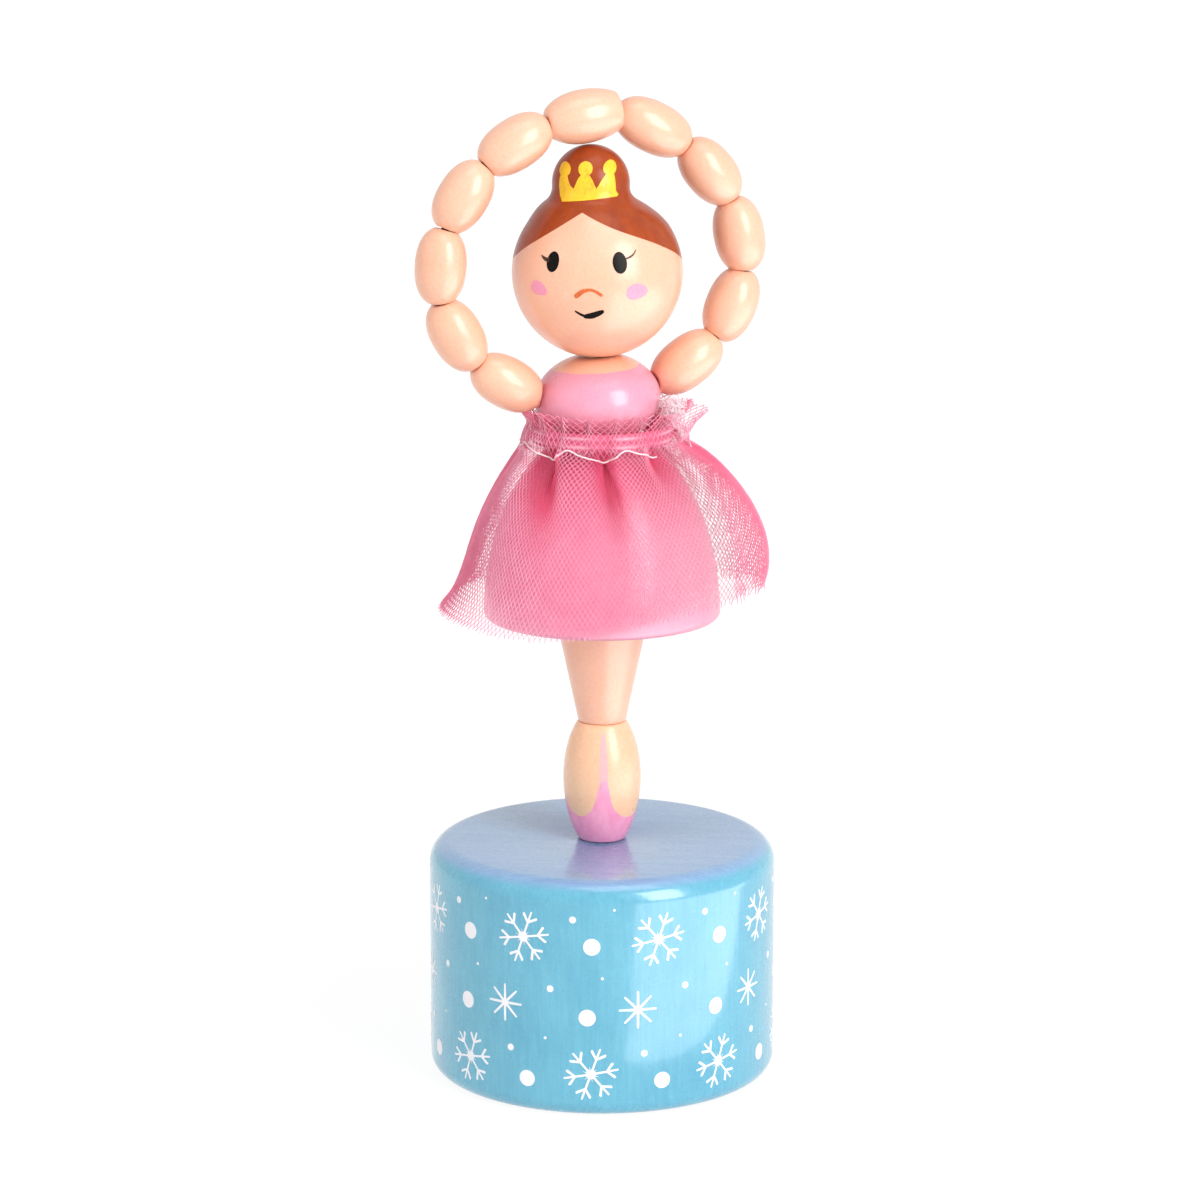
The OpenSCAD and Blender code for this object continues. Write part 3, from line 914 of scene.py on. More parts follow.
@dataclass
class Strands:
    """The three cords of the middle bore, and how they cross each seat."""

    cord_d: float = 1.1
    gap: float = 0.1

    @property
    def spread(self) -> float:
        """Distance of each cord from the axis."""
        return (self.cord_d + self.gap) / sqrt(3)

    @property
    def bore(self) -> float:
        """Diameter of the bore that holds all three."""
        return 2 * self.spread + self.cord_d + 2 * self.gap

    def offsets(self) -> list[Vector]:
        """Places of the three cords round the axis: two for the arms, then the head's."""
        turns = (30, 150, 270)
        return [Vector((self.spread * cos(radians(t)), self.spread * sin(radians(t)), 0)) for t in turns]

    def upright(self, low: float, high: float, steps: int, which: Sequence[int] = (0, 1, 2)) -> Mesh:
        """Build upright runs of the cords between two heights.

        Args:
            low: The lower height.
            high: The upper one.
            steps: Steps along each run.
            which: Numbers of the cords.

        Returns:
            The runs as one mesh.
        """
        runs = []
        for i in which:
            off = self.offsets()[i]
            runs.append(tube([off + Vector((0, 0, low + (high - low) * k / steps)) for k in range(steps + 1)],
                             self.cord_d / 2))
        return merged(runs)


@dataclass
class Drum:
    """The turned base with its painted snowflakes, and the button, spring and knot inside."""

    strands: Strands
    wide: float = 50.0
    tall: float = 34.3
    wall: float = 6.0
    top: float = 7.0
    top_round: float = 3.2
    foot_round: float = 2.4
    chamfer: float = 0.6
    button_z: float = 5.0
    button_t: float = 6.0
    button_gap: float = 0.4
    pocket_d: float = 9.0
    pocket_depth: float = 3.2
    spigot_r: float = 6.54
    spigot_h: float = 1.6
    wire_d: float = 0.9
    spring_d: float = 16.0
    turns: int = 5
    end_pitch: float = 1.5
    knot_h: float = 2.8
    knot_r: float = 0.6
    knot_rise: float = 0.78
    end_r: float = 0.5
    seat_gap: float = 0.05
    wind_steps: int = 40
    travel: float = 9.0
    facing: float = -18.0
    repeats: int = 8

    @property
    def ceiling(self) -> float:
        """Height of the hollow's roof."""
        return self.tall - self.top

    def build(self) -> None:
        """Build the drum and what works inside it."""
        self.shell()
        self.motifs()
        self.button()
        self.spring()
        self.knot()
        self.cords()

    def shell(self) -> None:
        """Turn the hollow drum."""
        r, bore = self.wide / 2, self.wide / 2 - self.wall
        profile = [(bore + self.chamfer, 0.0),
                   *arc(r - self.foot_round, self.foot_round, self.foot_round, -90, 0, 10),
                   *arc(r - self.top_round, self.tall - self.top_round, self.top_round, 0, 90, 14),
                   (self.strands.bore / 2, self.tall), (self.strands.bore / 2, self.ceiling),
                   (bore, self.ceiling), (bore, self.chamfer)]
        bm = lathe(profile, 144)
        soften(bm, 0.25, 3, 1.2)
        paint = DrumPaint("turquoise_lacquer", "69b6ce", "59a8c4", Grain.UPRIGHT, 0.26, 0.7, 0.1, 0.14,
                          top_z=self.tall)
        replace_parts(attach(piece(bm, "drum_shell", paint.make()), Body.DRUM.value),
                    "drum")

    def snowflake(self, r: float, turn: float) -> Outline:
        """Outline a six-armed flake with forked arms and a small star in its middle.

        Args:
            r: Reach of the arms.
            turn: Turn of the whole flake, in degrees.

        Returns:
            The outline about zero.
        """
        w = 0.038 * r * 2
        fork, rise = 0.60 * r, radians(48)
        reach = 0.34 * r
        out_x, out_y = reach * sin(rise), reach * cos(rise)
        half: Outline = [
            (0.155 * r, 0.268 * r), (0.062 * r, 0.14 * r),
            (w / 2, 0.22 * r), (w / 2, fork - w * 0.55),
            (w / 2 + out_x, fork - w * 0.55 + out_y), (w * 0.36 + out_x, fork + out_y + w * 0.42),
            (out_x - w * 0.28, fork + out_y + w * 0.5), (w / 2, fork + w * 0.95),
            (w * 0.46, r - w * 0.3), (w * 0.2, r)]
        arm = [(-x, y) for x, y in half[1:]] + half[:0:-1]
        arm.append(half[0])
        points: Outline = []
        for k in range(6):
            points += rotated(arm, turn - 90 - 60 * k)
        return points

    def star(self, r: float) -> Outline:
        """Outline a plain star of eight slim arms.

        Args:
            r: Reach of the arms.

        Returns:
            The outline about zero.
        """
        w = 0.062 * r * 2
        arm = [(-w * 0.56, w * 1.35), (-w * 0.5, r * 0.55), (-w * 0.42, r - w * 0.35), (-w * 0.2, r),
               (w * 0.2, r), (w * 0.42, r - w * 0.35), (w * 0.5, r * 0.55)]
        points: Outline = []
        for k in range(8):
            points += rotated(arm, -45 * k)
        return points

    def motifs(self) -> None:
        """Print the flakes, stars and dots round the drum."""
        r = self.wide / 2
        shapes: list[Outline] = []
        flake, star = self.snowflake(4.0, 10.5), self.star(2.75)
        dots = ((-3.3, 25.2, 1.23), (-4.8, 14.8, 1.23), (19.9, 5.2, 1.2),
                (-9.5, 29.1, 0.5), (-17.0, 18.8, 0.5), (13.8, 9.4, 0.5),
                (4.0, 30.6, 0.2), (0.1, 20.6, 0.22), (-18.7, 11.5, 0.22))
        for k in range(self.repeats):
            turn = self.facing + 360 / self.repeats * k
            for angle, z, outline in ((18.6, 26.0, flake), (11.7, 15.9, star), (-3.6, 6.5, flake)):
                x = r * radians(turn + angle)
                shapes.append([(x + p, z + q) for p, q in outline])
            for angle, z, size in dots:
                x = r * radians(turn + angle)
                shapes.append(arc(x, z, size, 0, 360 * 23 / 24, 23))

        def place(x: float, z: float, height: float) -> Vector:
            """Wrap the print round the drum's side and its two rounded edges."""
            reach = r
            for edge, round_r, way in ((self.tall, self.top_round, 1), (0.0, self.foot_round, -1)):
                over = way * (z - edge) + round_r
                if over > 0:
                    reach = r - round_r + sqrt(max(0.0, round_r ** 2 - over ** 2))
            return around(reach + height, x / r, z)

        bm = film(shapes, place, 0.8)
        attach(piece(bm, "drum_snowflakes", SNOW.make()), Body.DRUM.value)

    def button(self) -> None:
        """Turn the button with its pocket and its step."""
        r, z = self.wide / 2 - self.wall - self.button_gap, self.button_z
        top = z + self.button_t
        profile = [(self.pocket_d / 2, z), (r, z), (r, top), (self.spigot_r, top),
                   (self.spigot_r, top + self.spigot_h), (self.strands.bore / 2, top + self.spigot_h),
                   (self.strands.bore / 2, z + self.pocket_depth), (self.pocket_d / 2, z + self.pocket_depth)]
        bm = lathe(profile, 96)
        soften(bm, 0.5)
        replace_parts(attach(piece(bm, "button_disc", BareWood().make()), Body.BUTTON.value),
                    "push_button")

    def spring(self) -> None:
        """Wind the spring between the button and the drum's roof."""
        low = self.button_z + self.button_t + self.wire_d / 2 + self.seat_gap
        rise = self.ceiling - self.seat_gap - self.wire_d / 2 - low
        middle = (rise - 2 * self.end_pitch) / (self.turns - 2)
        path = []
        for i in range(self.turns * self.wind_steps + 1):
            t = i / self.wind_steps
            up = (t * self.end_pitch if t < 1 else self.end_pitch + (t - 1) * middle if t < self.turns - 1
                  else rise - (self.turns - t) * self.end_pitch)
            path.append(Vector((self.spring_d / 2 * cos(t * tau),
                                self.spring_d / 2 * sin(t * tau), low + up)))
        coil = piece(tube(path, self.wire_d / 2), "spring_coil", SpringSteel().make())
        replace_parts(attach(coil, Body.DRUM.value), "return_spring")
        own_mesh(coil)

    def knot(self) -> None:
        """Tie the knot that holds the cords under the button."""
        middle = self.button_z + self.pocket_depth - self.seat_gap - self.knot_h / 2
        loop = []
        for i in range(96):
            t = tau * i / 96
            reach = self.knot_r * (2 + cos(3 * t))
            loop.append(Vector((reach * cos(2 * t), reach * sin(2 * t),
                                middle + self.knot_rise * sin(3 * t))))
        ends = []
        for a in (0.4, 2.5, 4.6):
            out = Vector((cos(a), sin(a), 0))
            path = [Vector((self.end_r * cos(a), self.end_r * sin(a), middle - 0.2 * k))
                    + out * 0.35 * k for k in range(5)]
            ends.append(tube(path, self.end_r))
        bm = merged([tube(loop, 0.55, cyclic=True), *ends])
        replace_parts(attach(piece(bm, "knot_of_cords", BLACK_CORD.make()), Body.BUTTON.value),
                    "cord_knot")

    def cords(self) -> None:
        """Run the cords from the knot up into the drum's top."""
        low = self.button_z + self.pocket_depth + self.seat_gap
        high = self.tall - self.top / 2
        run = piece(self.strands.upright(low, high, 10), "cords_in_drum", BLACK_CORD.make())
        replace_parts(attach(run, Body.DRUM.value), "drum_cords")
        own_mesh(run)


@dataclass
class Levels:
    """Heights of the seats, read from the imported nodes, in millimetres."""

    foot: float = 0.0
    leg: float = 0.0
    bell: float = 0.0
    waist: float = 0.0

    @classmethod
    def packed(cls) -> "Levels":
        """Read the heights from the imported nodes."""
        return cls(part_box("foot_bead")[0].z / MM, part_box("leg")[0].z / MM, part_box("skirt_bell")[0].z / MM,
                   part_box("skirt_bell")[1].z / MM)


@dataclass
class Legs:
    """The foot bead with its painted shoes, and the leg above it."""

    at: Levels
    strands: Strands
    foot_h: float = 17.5
    foot_d: float = 11.2
    foot_low_r: float = 3.35
    foot_high_r: float = 3.5
    foot_widest: float = 0.525
    leg_h: float = 15.3
    leg_low_r: float = 3.42
    leg_high_r: float = 6.7
    shoe_front: float = -15.5

    def build(self) -> None:
        """Build both beads."""
        bm = lathe(oval_profile(self.foot_h, self.foot_d, self.foot_low_r, self.foot_high_r,
                                self.strands.bore, self.foot_widest, 36), 80)
        soften(bm, 0.2)
        shift(bm, self.at.foot)
        edge = ((-180, 42.6), (-130, 42.2), (-100, 41.9), (-84, 41.5), (-67.4, 39.57), (-55, 38.8),
                (-40.5, 38.5), (-26, 39.05), (-14.2, 40.6), (-6.9, 43.2), (0, 44.1), (6.9, 43.3),
                (10.2, 41.6), (18.3, 39.7), (30, 38.7), (45, 38.25), (60, 38.3), (76.5, 39.2), (92, 41.2),
                (120, 42.0), (150, 42.4), (180, 42.6))
        paint = ShoePaint("foot_skin_and_shoe", "fbcda8", "f5c098", Grain.TURNED, 0.3, 0.4,
                          front=self.shoe_front, top_edge=edge)
        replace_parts(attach(piece(bm, "foot_with_shoes", paint.make()), Body.FOOT.value),
                    "foot_bead")
        bm = lathe([(self.strands.bore / 2, 0), (self.leg_low_r, 0),
                    *[(self.leg_low_r + (self.leg_high_r - self.leg_low_r) * i / 12, self.leg_h * i / 12)
                      for i in range(1, 12)],
                    (self.leg_high_r, self.leg_h), (self.strands.bore / 2, self.leg_h)], 80)
        soften(bm, 0.18)
        shift(bm, self.at.leg)
        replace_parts(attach(piece(bm, "turned_leg", SKIN.make()), Body.LEG.value), "leg")


@dataclass
class Skirt:
    """The turned bell, the elastic, the gathered net with its stitching, and the seam's tuft."""

    at: Levels
    strands: Strands
    bell_h: float = 25.9
    bell_d: float = 34.0
    bell_high_r: float = 6.2
    bell_round: float = 1.0
    elastic_w: float = 2.5
    elastic_t: float = 0.6
    elastic_rise: float = 2.3
    gap: float = 0.3
    fold: float = 1.1
    shell_t: float = 0.6
    front: float = 0.0
    side: float = 6.4
    slack: float = 0.32
    hem_rise: float = 2.6
    waist_h: float = 26.55
    start: float = 0.07
    gathers: int = 8
    valley: float = -18.0
    seam: float = 47.0
    cell: Point2 = (0.78, 1.06)
    columns: int = 176
    strand: float = 0.15
    lace: float = 0.125
    lace_columns: int = 100
    dense: float = 0.1
    tuck: float = 0.75
    ruffle_l: float = 2.9
    band_l: float = 2.9
    skirt_l: float = 25.4
    open_share: float = 0.4
    hem_tilt: float = 1.26
    hem_dip: float = 0.44
    hem_twist: float = 1.08
    right_full: float = 0.72
    right_gain: float = 0.78
    right_turn_in: float = 0.57
    left_flick: float = 0.45
    back_full: float = 0.35
    row_fall: float = 1.25
    settle_rate: float = 12.0
    settle_from: float = 0.09
    front_turn: float = 0.2
    front_pull: float = 0.5
    drift: float = 0.45
    ridge: float = 1.25
    valley_depth: float = 5.0
    valley_sharp: float = 1.7
    left_ripple: float = 0.4
    right_lobe: float = 1.1
    lobe_at: float = 1.257
    clear_bell: float = 0.32
    clear_band: float = 0.2
    flare_at: float = 0.98
    flare_half: float = 0.24
    ruffle_tall: float = 2.4
    ruffle_out: float = 0.45
    thread_wave: float = 1.15
    thread_r: float = 0.12
    thread_from: float = 72.0
    thread_over: float = 316.0
    thread_steps: int = 640
    tuft_r: float = 11.0
    tuft_rise: float = 2.6
    fibres: int = 420
    fibre_r: float = 0.042
    jitter: float = 0.025
    bow_l: float = 5.0

    def bell_r(self, h: float) -> float:
        """Radius of the bell at a height over its rim."""
        return oval_r(min(max(h, 0.0), self.bell_h), self.bell_d / 2, self.bell_h, self.bell_high_r)

    @property
    def elastic_r(self) -> float:
        """Inner radius of the elastic."""
        return self.bell_r(self.bell_h - self.elastic_w) + self.gap

    @property
    def elastic_out(self) -> float:
        """Outer radius of the elastic."""
        return self.elastic_r + self.elastic_t

    @property
    def elastic_h(self) -> float:
        """Height of the elastic's upper edge over the bell's rim."""
        return self.bell_h + self.elastic_rise

    @property
    def waist_r(self) -> float:
        """Radius of the net where the elastic gathers it."""
        return self.elastic_out + self.gap + self.fold / 2

    @property
    def wide(self) -> float:
        """Width of the flat net, which runs once round the waist."""
        return self.columns * self.cell[0]

    def build(self) -> None:
        """Build the whole skirt."""
        bell = self.bell()
        band = self.band()
        finish = NET.make()
        net, frays = self.net(finish)
        casing = self.casing(finish)
        self.stitches()
        self.tuft()

    def bell(self) -> Thing:
        """Turn the bell.

        Returns:
            The bell.
        """
        rim = self.bell_r(self.bell_round)
        side = [(self.bell_r(z), z) for z in
                (self.bell_round + (self.bell_h - self.bell_round) * i / 40 for i in range(1, 41))]
        edge = arc(rim - self.bell_round, self.bell_round, self.bell_round, -90, 0, 8)
        bm = lathe([(self.strands.bore / 2, 0.0), *edge, *side, (self.strands.bore / 2, self.bell_h)], 112)
        soften(bm, 0.2, 3, 0.8)
        shift(bm, self.at.bell)
        # the hemline bounds the painted net shadow on the bell
        hemline = tuple((a, self.hem_h(radians(a))) for a in range(-180, 181, 20))
        paint = BellPaint("bell_pink_and_painted_net_shade", PINK.light, PINK.deep, Grain.UPRIGHT, 0.36, 0.35, 0.2,
                          rim=self.at.bell, hemline=hemline)
        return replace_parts(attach(piece(bm, "turned_bell", paint.make()), Body.SKIRT.value),
                           "skirt_bell")

    def band(self) -> Thing:
        """Weave the elastic, ribbed by its rubber threads, with a painted highlight along the rib crests and
        painted shade in the grooves.

        Returns:
            The elastic.
        """
        ribs = 2
        low = self.elastic_h - self.elastic_w
        outer = []
        for i in range(ribs * 6 + 1):
            t = i / (ribs * 6)
            outer.append((self.elastic_out - 0.12 + 0.2 * abs(sin(pi * ribs * t)),
                          low + self.elastic_w * t))
        bm = lathe([(self.elastic_r, low), *outer, (self.elastic_r, self.elastic_h)], 240)
        middle = self.elastic_r + self.elastic_t / 2
        rib_shade_and_highlight = bm.verts.layers.float.new("gather")
        for v in bm.verts:
            reach = hypot(v.co.x, v.co.y)
            # painted highlight on the rib crests, fainter where the net's lobes hang low over the band; painted
            # shade elsewhere
            crest = abs(sin(pi * ribs * (v.co.z - low) / self.elastic_w)) ** 4
            v[rib_shade_and_highlight] = 0.35 - crest * (0.55 - 0.3 * cos(self.wave(atan2(v.co.x, -v.co.y))))
            if reach > middle:
                grow = 1 + 0.015 * sin(80 * atan2(v.co.y, v.co.x)) / reach
                v.co.x, v.co.y = v.co.x * grow, v.co.y * grow
        shift(bm, self.at.bell)
        band = piece(bm, "woven_elastic", BAND.make(), YARN_CREASE)
        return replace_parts(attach(band, Body.SKIRT.value), "waist_elastic")

    def hem_h(self, a: float) -> float:
        """Height of the hem over the bell's rim at an angle from the front, in radians."""
        return (self.hem_rise + self.hem_tilt * sin(a) - self.hem_dip * cos(2 * a)
                + self.hem_twist * sin(2 * a))

    def billow(self, a: float, s: float) -> float:
        """Share of the full stand-off at an angle and a way down the skirt.

        Args:
            a: Angle from the front, in radians.
            s: Way down, from 0 to 1.

        Returns:
            The share.
        """
        if sin(a) > 0:
            full = self.right_full + self.right_gain * s - self.right_turn_in * s ** 5
        else:
            full = self.slack + self.left_flick * s ** 10
        return self.back_full * max(0.0, -cos(a)) ** 2 + sin(a) ** 2 * full

    def wave(self, a: float) -> float:
        """Phase of the gathers: zero in a valley."""
        return self.gathers * (a - radians(self.valley)) + 0.5 * sin(2 * a + 0.7)

    def ahead(self, a: float) -> float:
        """How near an angle is to the side that the figure shows."""
        return max(0.0, cos(a + self.front_turn)) ** 2

    def near(self, a: float, middle: float, half: float) -> float:
        """How near an angle is to a middle one, as a soft bump from 0 to 1."""
        return exp(-((remainder(a, tau) - middle) / half) ** 2)

    def down(self, y: float) -> float:
        """Way down the skirt from 0 to 1, at a distance from the fold along the ruffle's top."""
        return (y - self.ruffle_l - self.band_l) / self.skirt_l

    def strength(self, a: float) -> float:
        """How deep the gather nearest to an angle is."""
        return 0.8 + 0.6 * cos(2 * (a + 0.58))

    def hang(self, a: float, s: float) -> Vector:
        """Point of the hanging net.

        Args:
            a: Angle from the front, in radians.
            s: Way from the elastic's lower edge at 0 to the hem at 1.

        Returns:
            The point, with heights over the bell's rim.
        """
        c = self.start + (1 - self.start) * s
        h = self.waist_h - (self.waist_h - self.hem_h(a)) * c ** self.row_fall
        settle = exp(-self.settle_rate * max(0.0, c - self.settle_from))
        stand_off = self.gap + self.shell_t / 2 + self.fold / 2
        out = self.front + (self.side - self.front) * self.billow(a, c)
        r = (self.bell_r(h) + stand_off + out * (1 - settle)
             + (self.waist_r - self.bell_r(self.waist_h) - stand_off) * settle)
        ahead = self.ahead(a)
        r -= self.front_pull * ahead * min(1.0, max(0.0, (s - 0.1) / 0.45))
        phase = self.wave(a - self.drift * s * ahead)
        swell = self.swell(a, s)
        r += swell * (self.ridge - self.valley_depth * (0.5 + 0.5 * cos(phase)) ** self.valley_sharp)
        r += 0.1 * exp(-7 * s) * cos(2.6 * phase + 1.0)
        r += self.left_ripple * s * (1 - ahead) * sin(7 * a + 0.6) if sin(a) < 0 else 0.0
        lobe = max(0.0, sin(1.5 * a)) if 0 < a % tau < 2.09 else 0.0
        r += self.right_lobe * lobe * s ** 0.7 * (cos(6 * (a - self.lobe_at)) - 1)
        r = max(r, self.bell_r(h) + self.clear_bell, self.elastic_out + self.clear_band if s < 0.03 else 0.0)
        return around(r, a - self.tuck * swell * sin(phase) / self.gathers, h)

    def swell(self, a: float, s: float) -> float:
        """Strength of the gathers at an angle and a way down the skirt."""
        return (0.45 + 7.5 * s) * exp(-7.4 * s) * self.strength(a)

    def bunch_shade_and_highlight(self, a: float, y: float) -> float:
        """How deep or pale the outer net's colour is at an angle and a distance from the fold, from its
        bunching, painted shade and painted highlight.

        Args:
            a: Angle from the front, in radians.
            y: Distance from the fold along the ruffle's top.

        Returns:
            Zero for an even net, more along the valleys where the net lies in layers and in painted shade, and
            towards the sides, and less in the painted highlight on the lit right and over the ruffle.
        """
        s = self.down(y)
        if s < 0:
            # painted light: the ruffle's yarn is paler, lifting the shade by the torso
            return 0.12 * cos(2 * self.wave(a)) - 0.12
        # deeper towards the sides of the skirt
        side = min(1.0, max(0.0, (abs(remainder(a + 0.25, tau)) - 0.85) / 0.45))
        side *= 0.26 if sin(a) > 0 else 0.04 + 0.24 * s
        # painted shade along the gathers' valleys, where the net also lies in layers
        valley = (0.5 + 0.5 * cos(self.wave(a - self.drift * s * self.ahead(a)))) ** 1.5
        # painted highlight on the lit right of the skirt
        pale = self.near(a, 0.45, 0.42) * min(1.0, s / 0.35)
        return side - 0.4 * pale + self.swell(a, s) * valley * min(2.3, 1.2 + 10 * s)

    def shaded(self, a: float, _: float) -> float:
        """How deep in colour the net behind the elastic looks, from its layers and painted shade, less so
        beside the seam.
        """
        return 0.45 * (1 - self.near(a, self.flare_at, 0.4))

    def stand(self, a: float, s: float, flare: float = 3.6) -> Vector:
        """Point of the ruffle.

        Args:
            a: Angle from the front, in radians.
            s: Way from the elastic's upper edge at 0 to the fold along the ruffle's top at 1.
            flare: How far the ruffle springs out beside the seam.

        Returns:
            The point, with heights over the bell's rim.
        """
        phase = self.wave(a)
        fold = (0.5 * cos(2 * phase + 0.8) + 0.32 * sin(3 * phase + 4 * a) + 0.25 * cos(5 * phase + 2))
        lean = 0.4 - 0.4 * cos(a) + 0.7 * sin(a) + 1.35 * sin(a) ** 2
        flare *= self.near(a, self.flare_at, self.flare_half)
        tall = self.ruffle_tall + 0.2 * sin(5 * a + 1) + 0.28 * fold
        r = (self.elastic_out + self.ruffle_out + lean * s ** 1.2 + (0.15 + 0.75 * s) * fold
             + flare * (0.8 + 0.2 * s))
        turn = a + (0.4 + 0.4 * s) * sin(2 * phase) / (2 * self.gathers)
        return around(r, turn, self.elastic_h + 0.05 + tall * s)

    def cloth(self, a: float, y: float) -> Vector:
        """Point of the outer net at an angle and a distance from the fold along its top.

        Args:
            a: Angle from the front, in radians.
            y: Distance from the fold along the ruffle's top.

        Returns:
            The point, with heights over the bell's rim.
        """
        if y < self.ruffle_l:
            return self.stand(a, 1 - y / self.ruffle_l)
        if y > self.ruffle_l + self.band_l:
            return self.hang(a, self.down(y))
        t = (y - self.ruffle_l) / self.band_l
        return self.stand(a, 0.0).lerp(self.hang(a, 0.0), t)

    def thread_y(self, a: float) -> float:
        """Distance of the stitched thread from the fold along the ruffle's top, at an angle."""
        phase = self.wave(a)
        return (self.ruffle_l + self.band_l + 0.55 + self.thread_wave * cos(phase)
                + 0.3 * sin(2 * phase + 0.5))

    def flap(self, a: float, y: float) -> Vector:
        """Point of the casing's outer net, sewn down along the thread and puckered over the elastic.

        Args:
            a: Angle from the front, in radians.
            y: Distance from the fold along the ruffle's top.

        Returns:
            The point, with heights over the bell's rim.
        """
        if y < self.ruffle_l:
            return self.stand(a, 1 - y / self.ruffle_l)
        t = min(1.0, (y - self.ruffle_l) / self.band_l)
        high, low = self.stand(a, 0.0), self.cloth(a, self.thread_y(a))
        reach = max(hypot(low.x, low.y) + 0.1, self.elastic_out + self.ruffle_out)
        spot = high.lerp(around(reach, a, low.z), t)
        pucker = 0.25 + 0.15 * cos(2 * self.wave(a))
        grow = 1 + sin(pi * t) * pucker / hypot(spot.x, spot.y)
        return Vector((spot.x * grow, spot.y * grow, spot.z))

    def lining(self, a: float, y: float) -> Vector:
        """Point of the net turned down behind the elastic, at a distance from the fold.

        Args:
            a: Angle from the front, in radians.
            y: Distance from the fold along the ruffle's top.

        Returns:
            The point, with heights over the bell's rim.
        """
        if y < self.ruffle_l:
            t = y / self.ruffle_l
            spot = self.stand(a + 0.05 * t, 1 - t, 0.0)
            reach = hypot(spot.x, spot.y)
            shrink = (reach - 0.75 * t) / reach
            return Vector((spot.x * shrink, spot.y * shrink, spot.z))
        t = min(1.0, (y - self.ruffle_l) / self.band_l)
        r = self.elastic_r - 0.25 + 0.18 * cos(2 * self.wave(a))
        low = around(r, a, self.elastic_h - self.elastic_w * t)
        spot = self.lining(a, self.ruffle_l * 0.999).lerp(low, min(1.0, 3 * t))
        return Vector((spot.x, spot.y, low.z))

    def mesh(self, start: float, stop: float, columns: int, cloth: Cloth, bunch_shade_and_highlight: Spread) -> Mesh:
        """Knot flat net of diamonds and lay it on a cloth surface, closed along its seam.

        Args:
            start: Distance of the net's upper edge from the fold along the ruffle's top.
            stop: Distance of its lower edge.
            columns: Diamonds once round the waist.
            cloth: Gives the point for an angle and a distance from the fold.
            bunch_shade_and_highlight: Gives how deep or pale the net's colour is there, from bunching, painted
                shade and painted highlight.

        Returns:
            The net as open diamonds without thickness.
        """
        w, h = self.cell
        rows = max(1, round((stop - start) / h))
        bm = bmesh.new()
        bmesh.ops.create_circle(bm, cap_ends=True, segments=4, radius=w / 2)
        bmesh.ops.scale(bm, vec=(1, h / w, 1), verts=bm.verts[:])
        for move, steps in (((w, 0, 0), columns - 1), ((w / 2, -h / 2, 0), 1), ((0, -h, 0), rows - 1)):
            bmesh.ops.spin(bm, geom=bm.verts[:] + bm.edges[:] + bm.faces[:], cent=(0, 0, 0), axis=(0, 0, 1),
                           angle=0, dvec=move, steps=steps, use_duplicate=True)
        bmesh.ops.remove_doubles(bm, verts=bm.verts[:], dist=w * 0.1)
        highest = max(v.co.y for v in bm.verts)
        lowest = min(v.co.y for v in bm.verts)
        rng = random.Random(7)
        layer = bm.verts.layers.float.new("gather")
        for v in bm.verts:
            y = start + (highest - v.co.y) / (highest - lowest) * (stop - start)
            a = tau * v.co.x / (columns * w) + radians(self.seam)
            a += self.dense * sin(2 * a)
            v[layer] = bunch_shade_and_highlight(a, y)
            jitter = Vector((rng.uniform(-1, 1), rng.uniform(-1, 1), rng.uniform(-1, 1))) * self.jitter
            v.co = cloth(a, y) + jitter
            v.co.z += self.at.bell
        bmesh.ops.remove_doubles(bm, verts=[v for v in bm.verts if v.is_boundary], dist=0.09)
        bmesh.ops.recalc_face_normals(bm, faces=bm.faces[:])
        return bm

    def thicken(self, bm: Mesh, strand: float) -> None:
        """Give the strands of a net their thickness."""
        bmesh.ops.wireframe(bm, faces=bm.faces[:], thickness=strand, offset=0.0, use_replace=True,
                            use_boundary=True, use_even_offset=False)

    def net(self, finish: Paint) -> tuple[Thing, Thing]:
        """Gather the outer net round the waist, and fray its hem.

        Args:
            finish: The net's material.

        Returns:
            The net and the frayed ends.
        """
        top = self.ruffle_l + self.band_l
        bm = self.mesh(top - 0.5, top + self.skirt_l, self.columns, self.cloth, self.bunch_shade_and_highlight)
        tips = []
        for v in bm.verts:
            others = [e.other_vert(v).co for e in v.link_edges]
            if v.is_boundary and v.co.z < self.at.bell + 9 and all(o.z > v.co.z for o in others):
                tips.append((v.co.copy(), v.co - sum(others, Vector()) / len(others)))
        self.thicken(bm, self.strand)
        net = piece(bm, "gathered_net", finish, NET_CREASE)
        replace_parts(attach(net, Body.SKIRT.value), "net_skirt")
        rng = random.Random(5)
        bm = bmesh.new()
        for end, way in tips:
            lean = way.normalized() + Vector((rng.uniform(-0.35, 0.35), rng.uniform(-0.35, 0.35), 0))
            lean.normalize()
            long = rng.uniform(0.3, 0.6) + max(0.0, end.x / 20) * rng.uniform(0.4, 0.8)
            turn = lean.to_track_quat("Z", "Y").to_matrix().to_4x4()
            bmesh.ops.create_cone(bm, cap_ends=True, segments=4, radius1=self.strand * 0.6,
                                  radius2=self.strand * 0.35, depth=long,
                                  matrix=Matrix.Translation(end + lean * long * 0.46) @ turn)
        frays = piece(bm, "hem_frays", finish, NET_CREASE)
        return net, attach(frays, Body.SKIRT.value)

    def casing(self, finish: Paint) -> Thing:
        """Stand the ruffle up over the elastic, and turn it down again behind.

        Args:
            finish: The net's material.

        Returns:
            The ruffle.
        """
        parts = []
        for cloth, bunch_shade_and_highlight in ((self.flap, self.bunch_shade_and_highlight), (self.lining, self.shaded)):
            bm = self.mesh(0.0, self.ruffle_l + self.band_l, self.lace_columns, cloth, bunch_shade_and_highlight)
            self.thicken(bm, self.lace)
            parts.append(bm)
        ruffle = piece(merged(parts), "net_ruffle", finish, NET_CREASE)
        return self.follow(ruffle)

    def follow(self, soft: Thing) -> Thing:
        """Bake the place of a soft piece round the torso's foot into its mesh.

        Args:
            soft: The piece.

        Returns:
            The piece.
        """
        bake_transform(soft)
        return soft

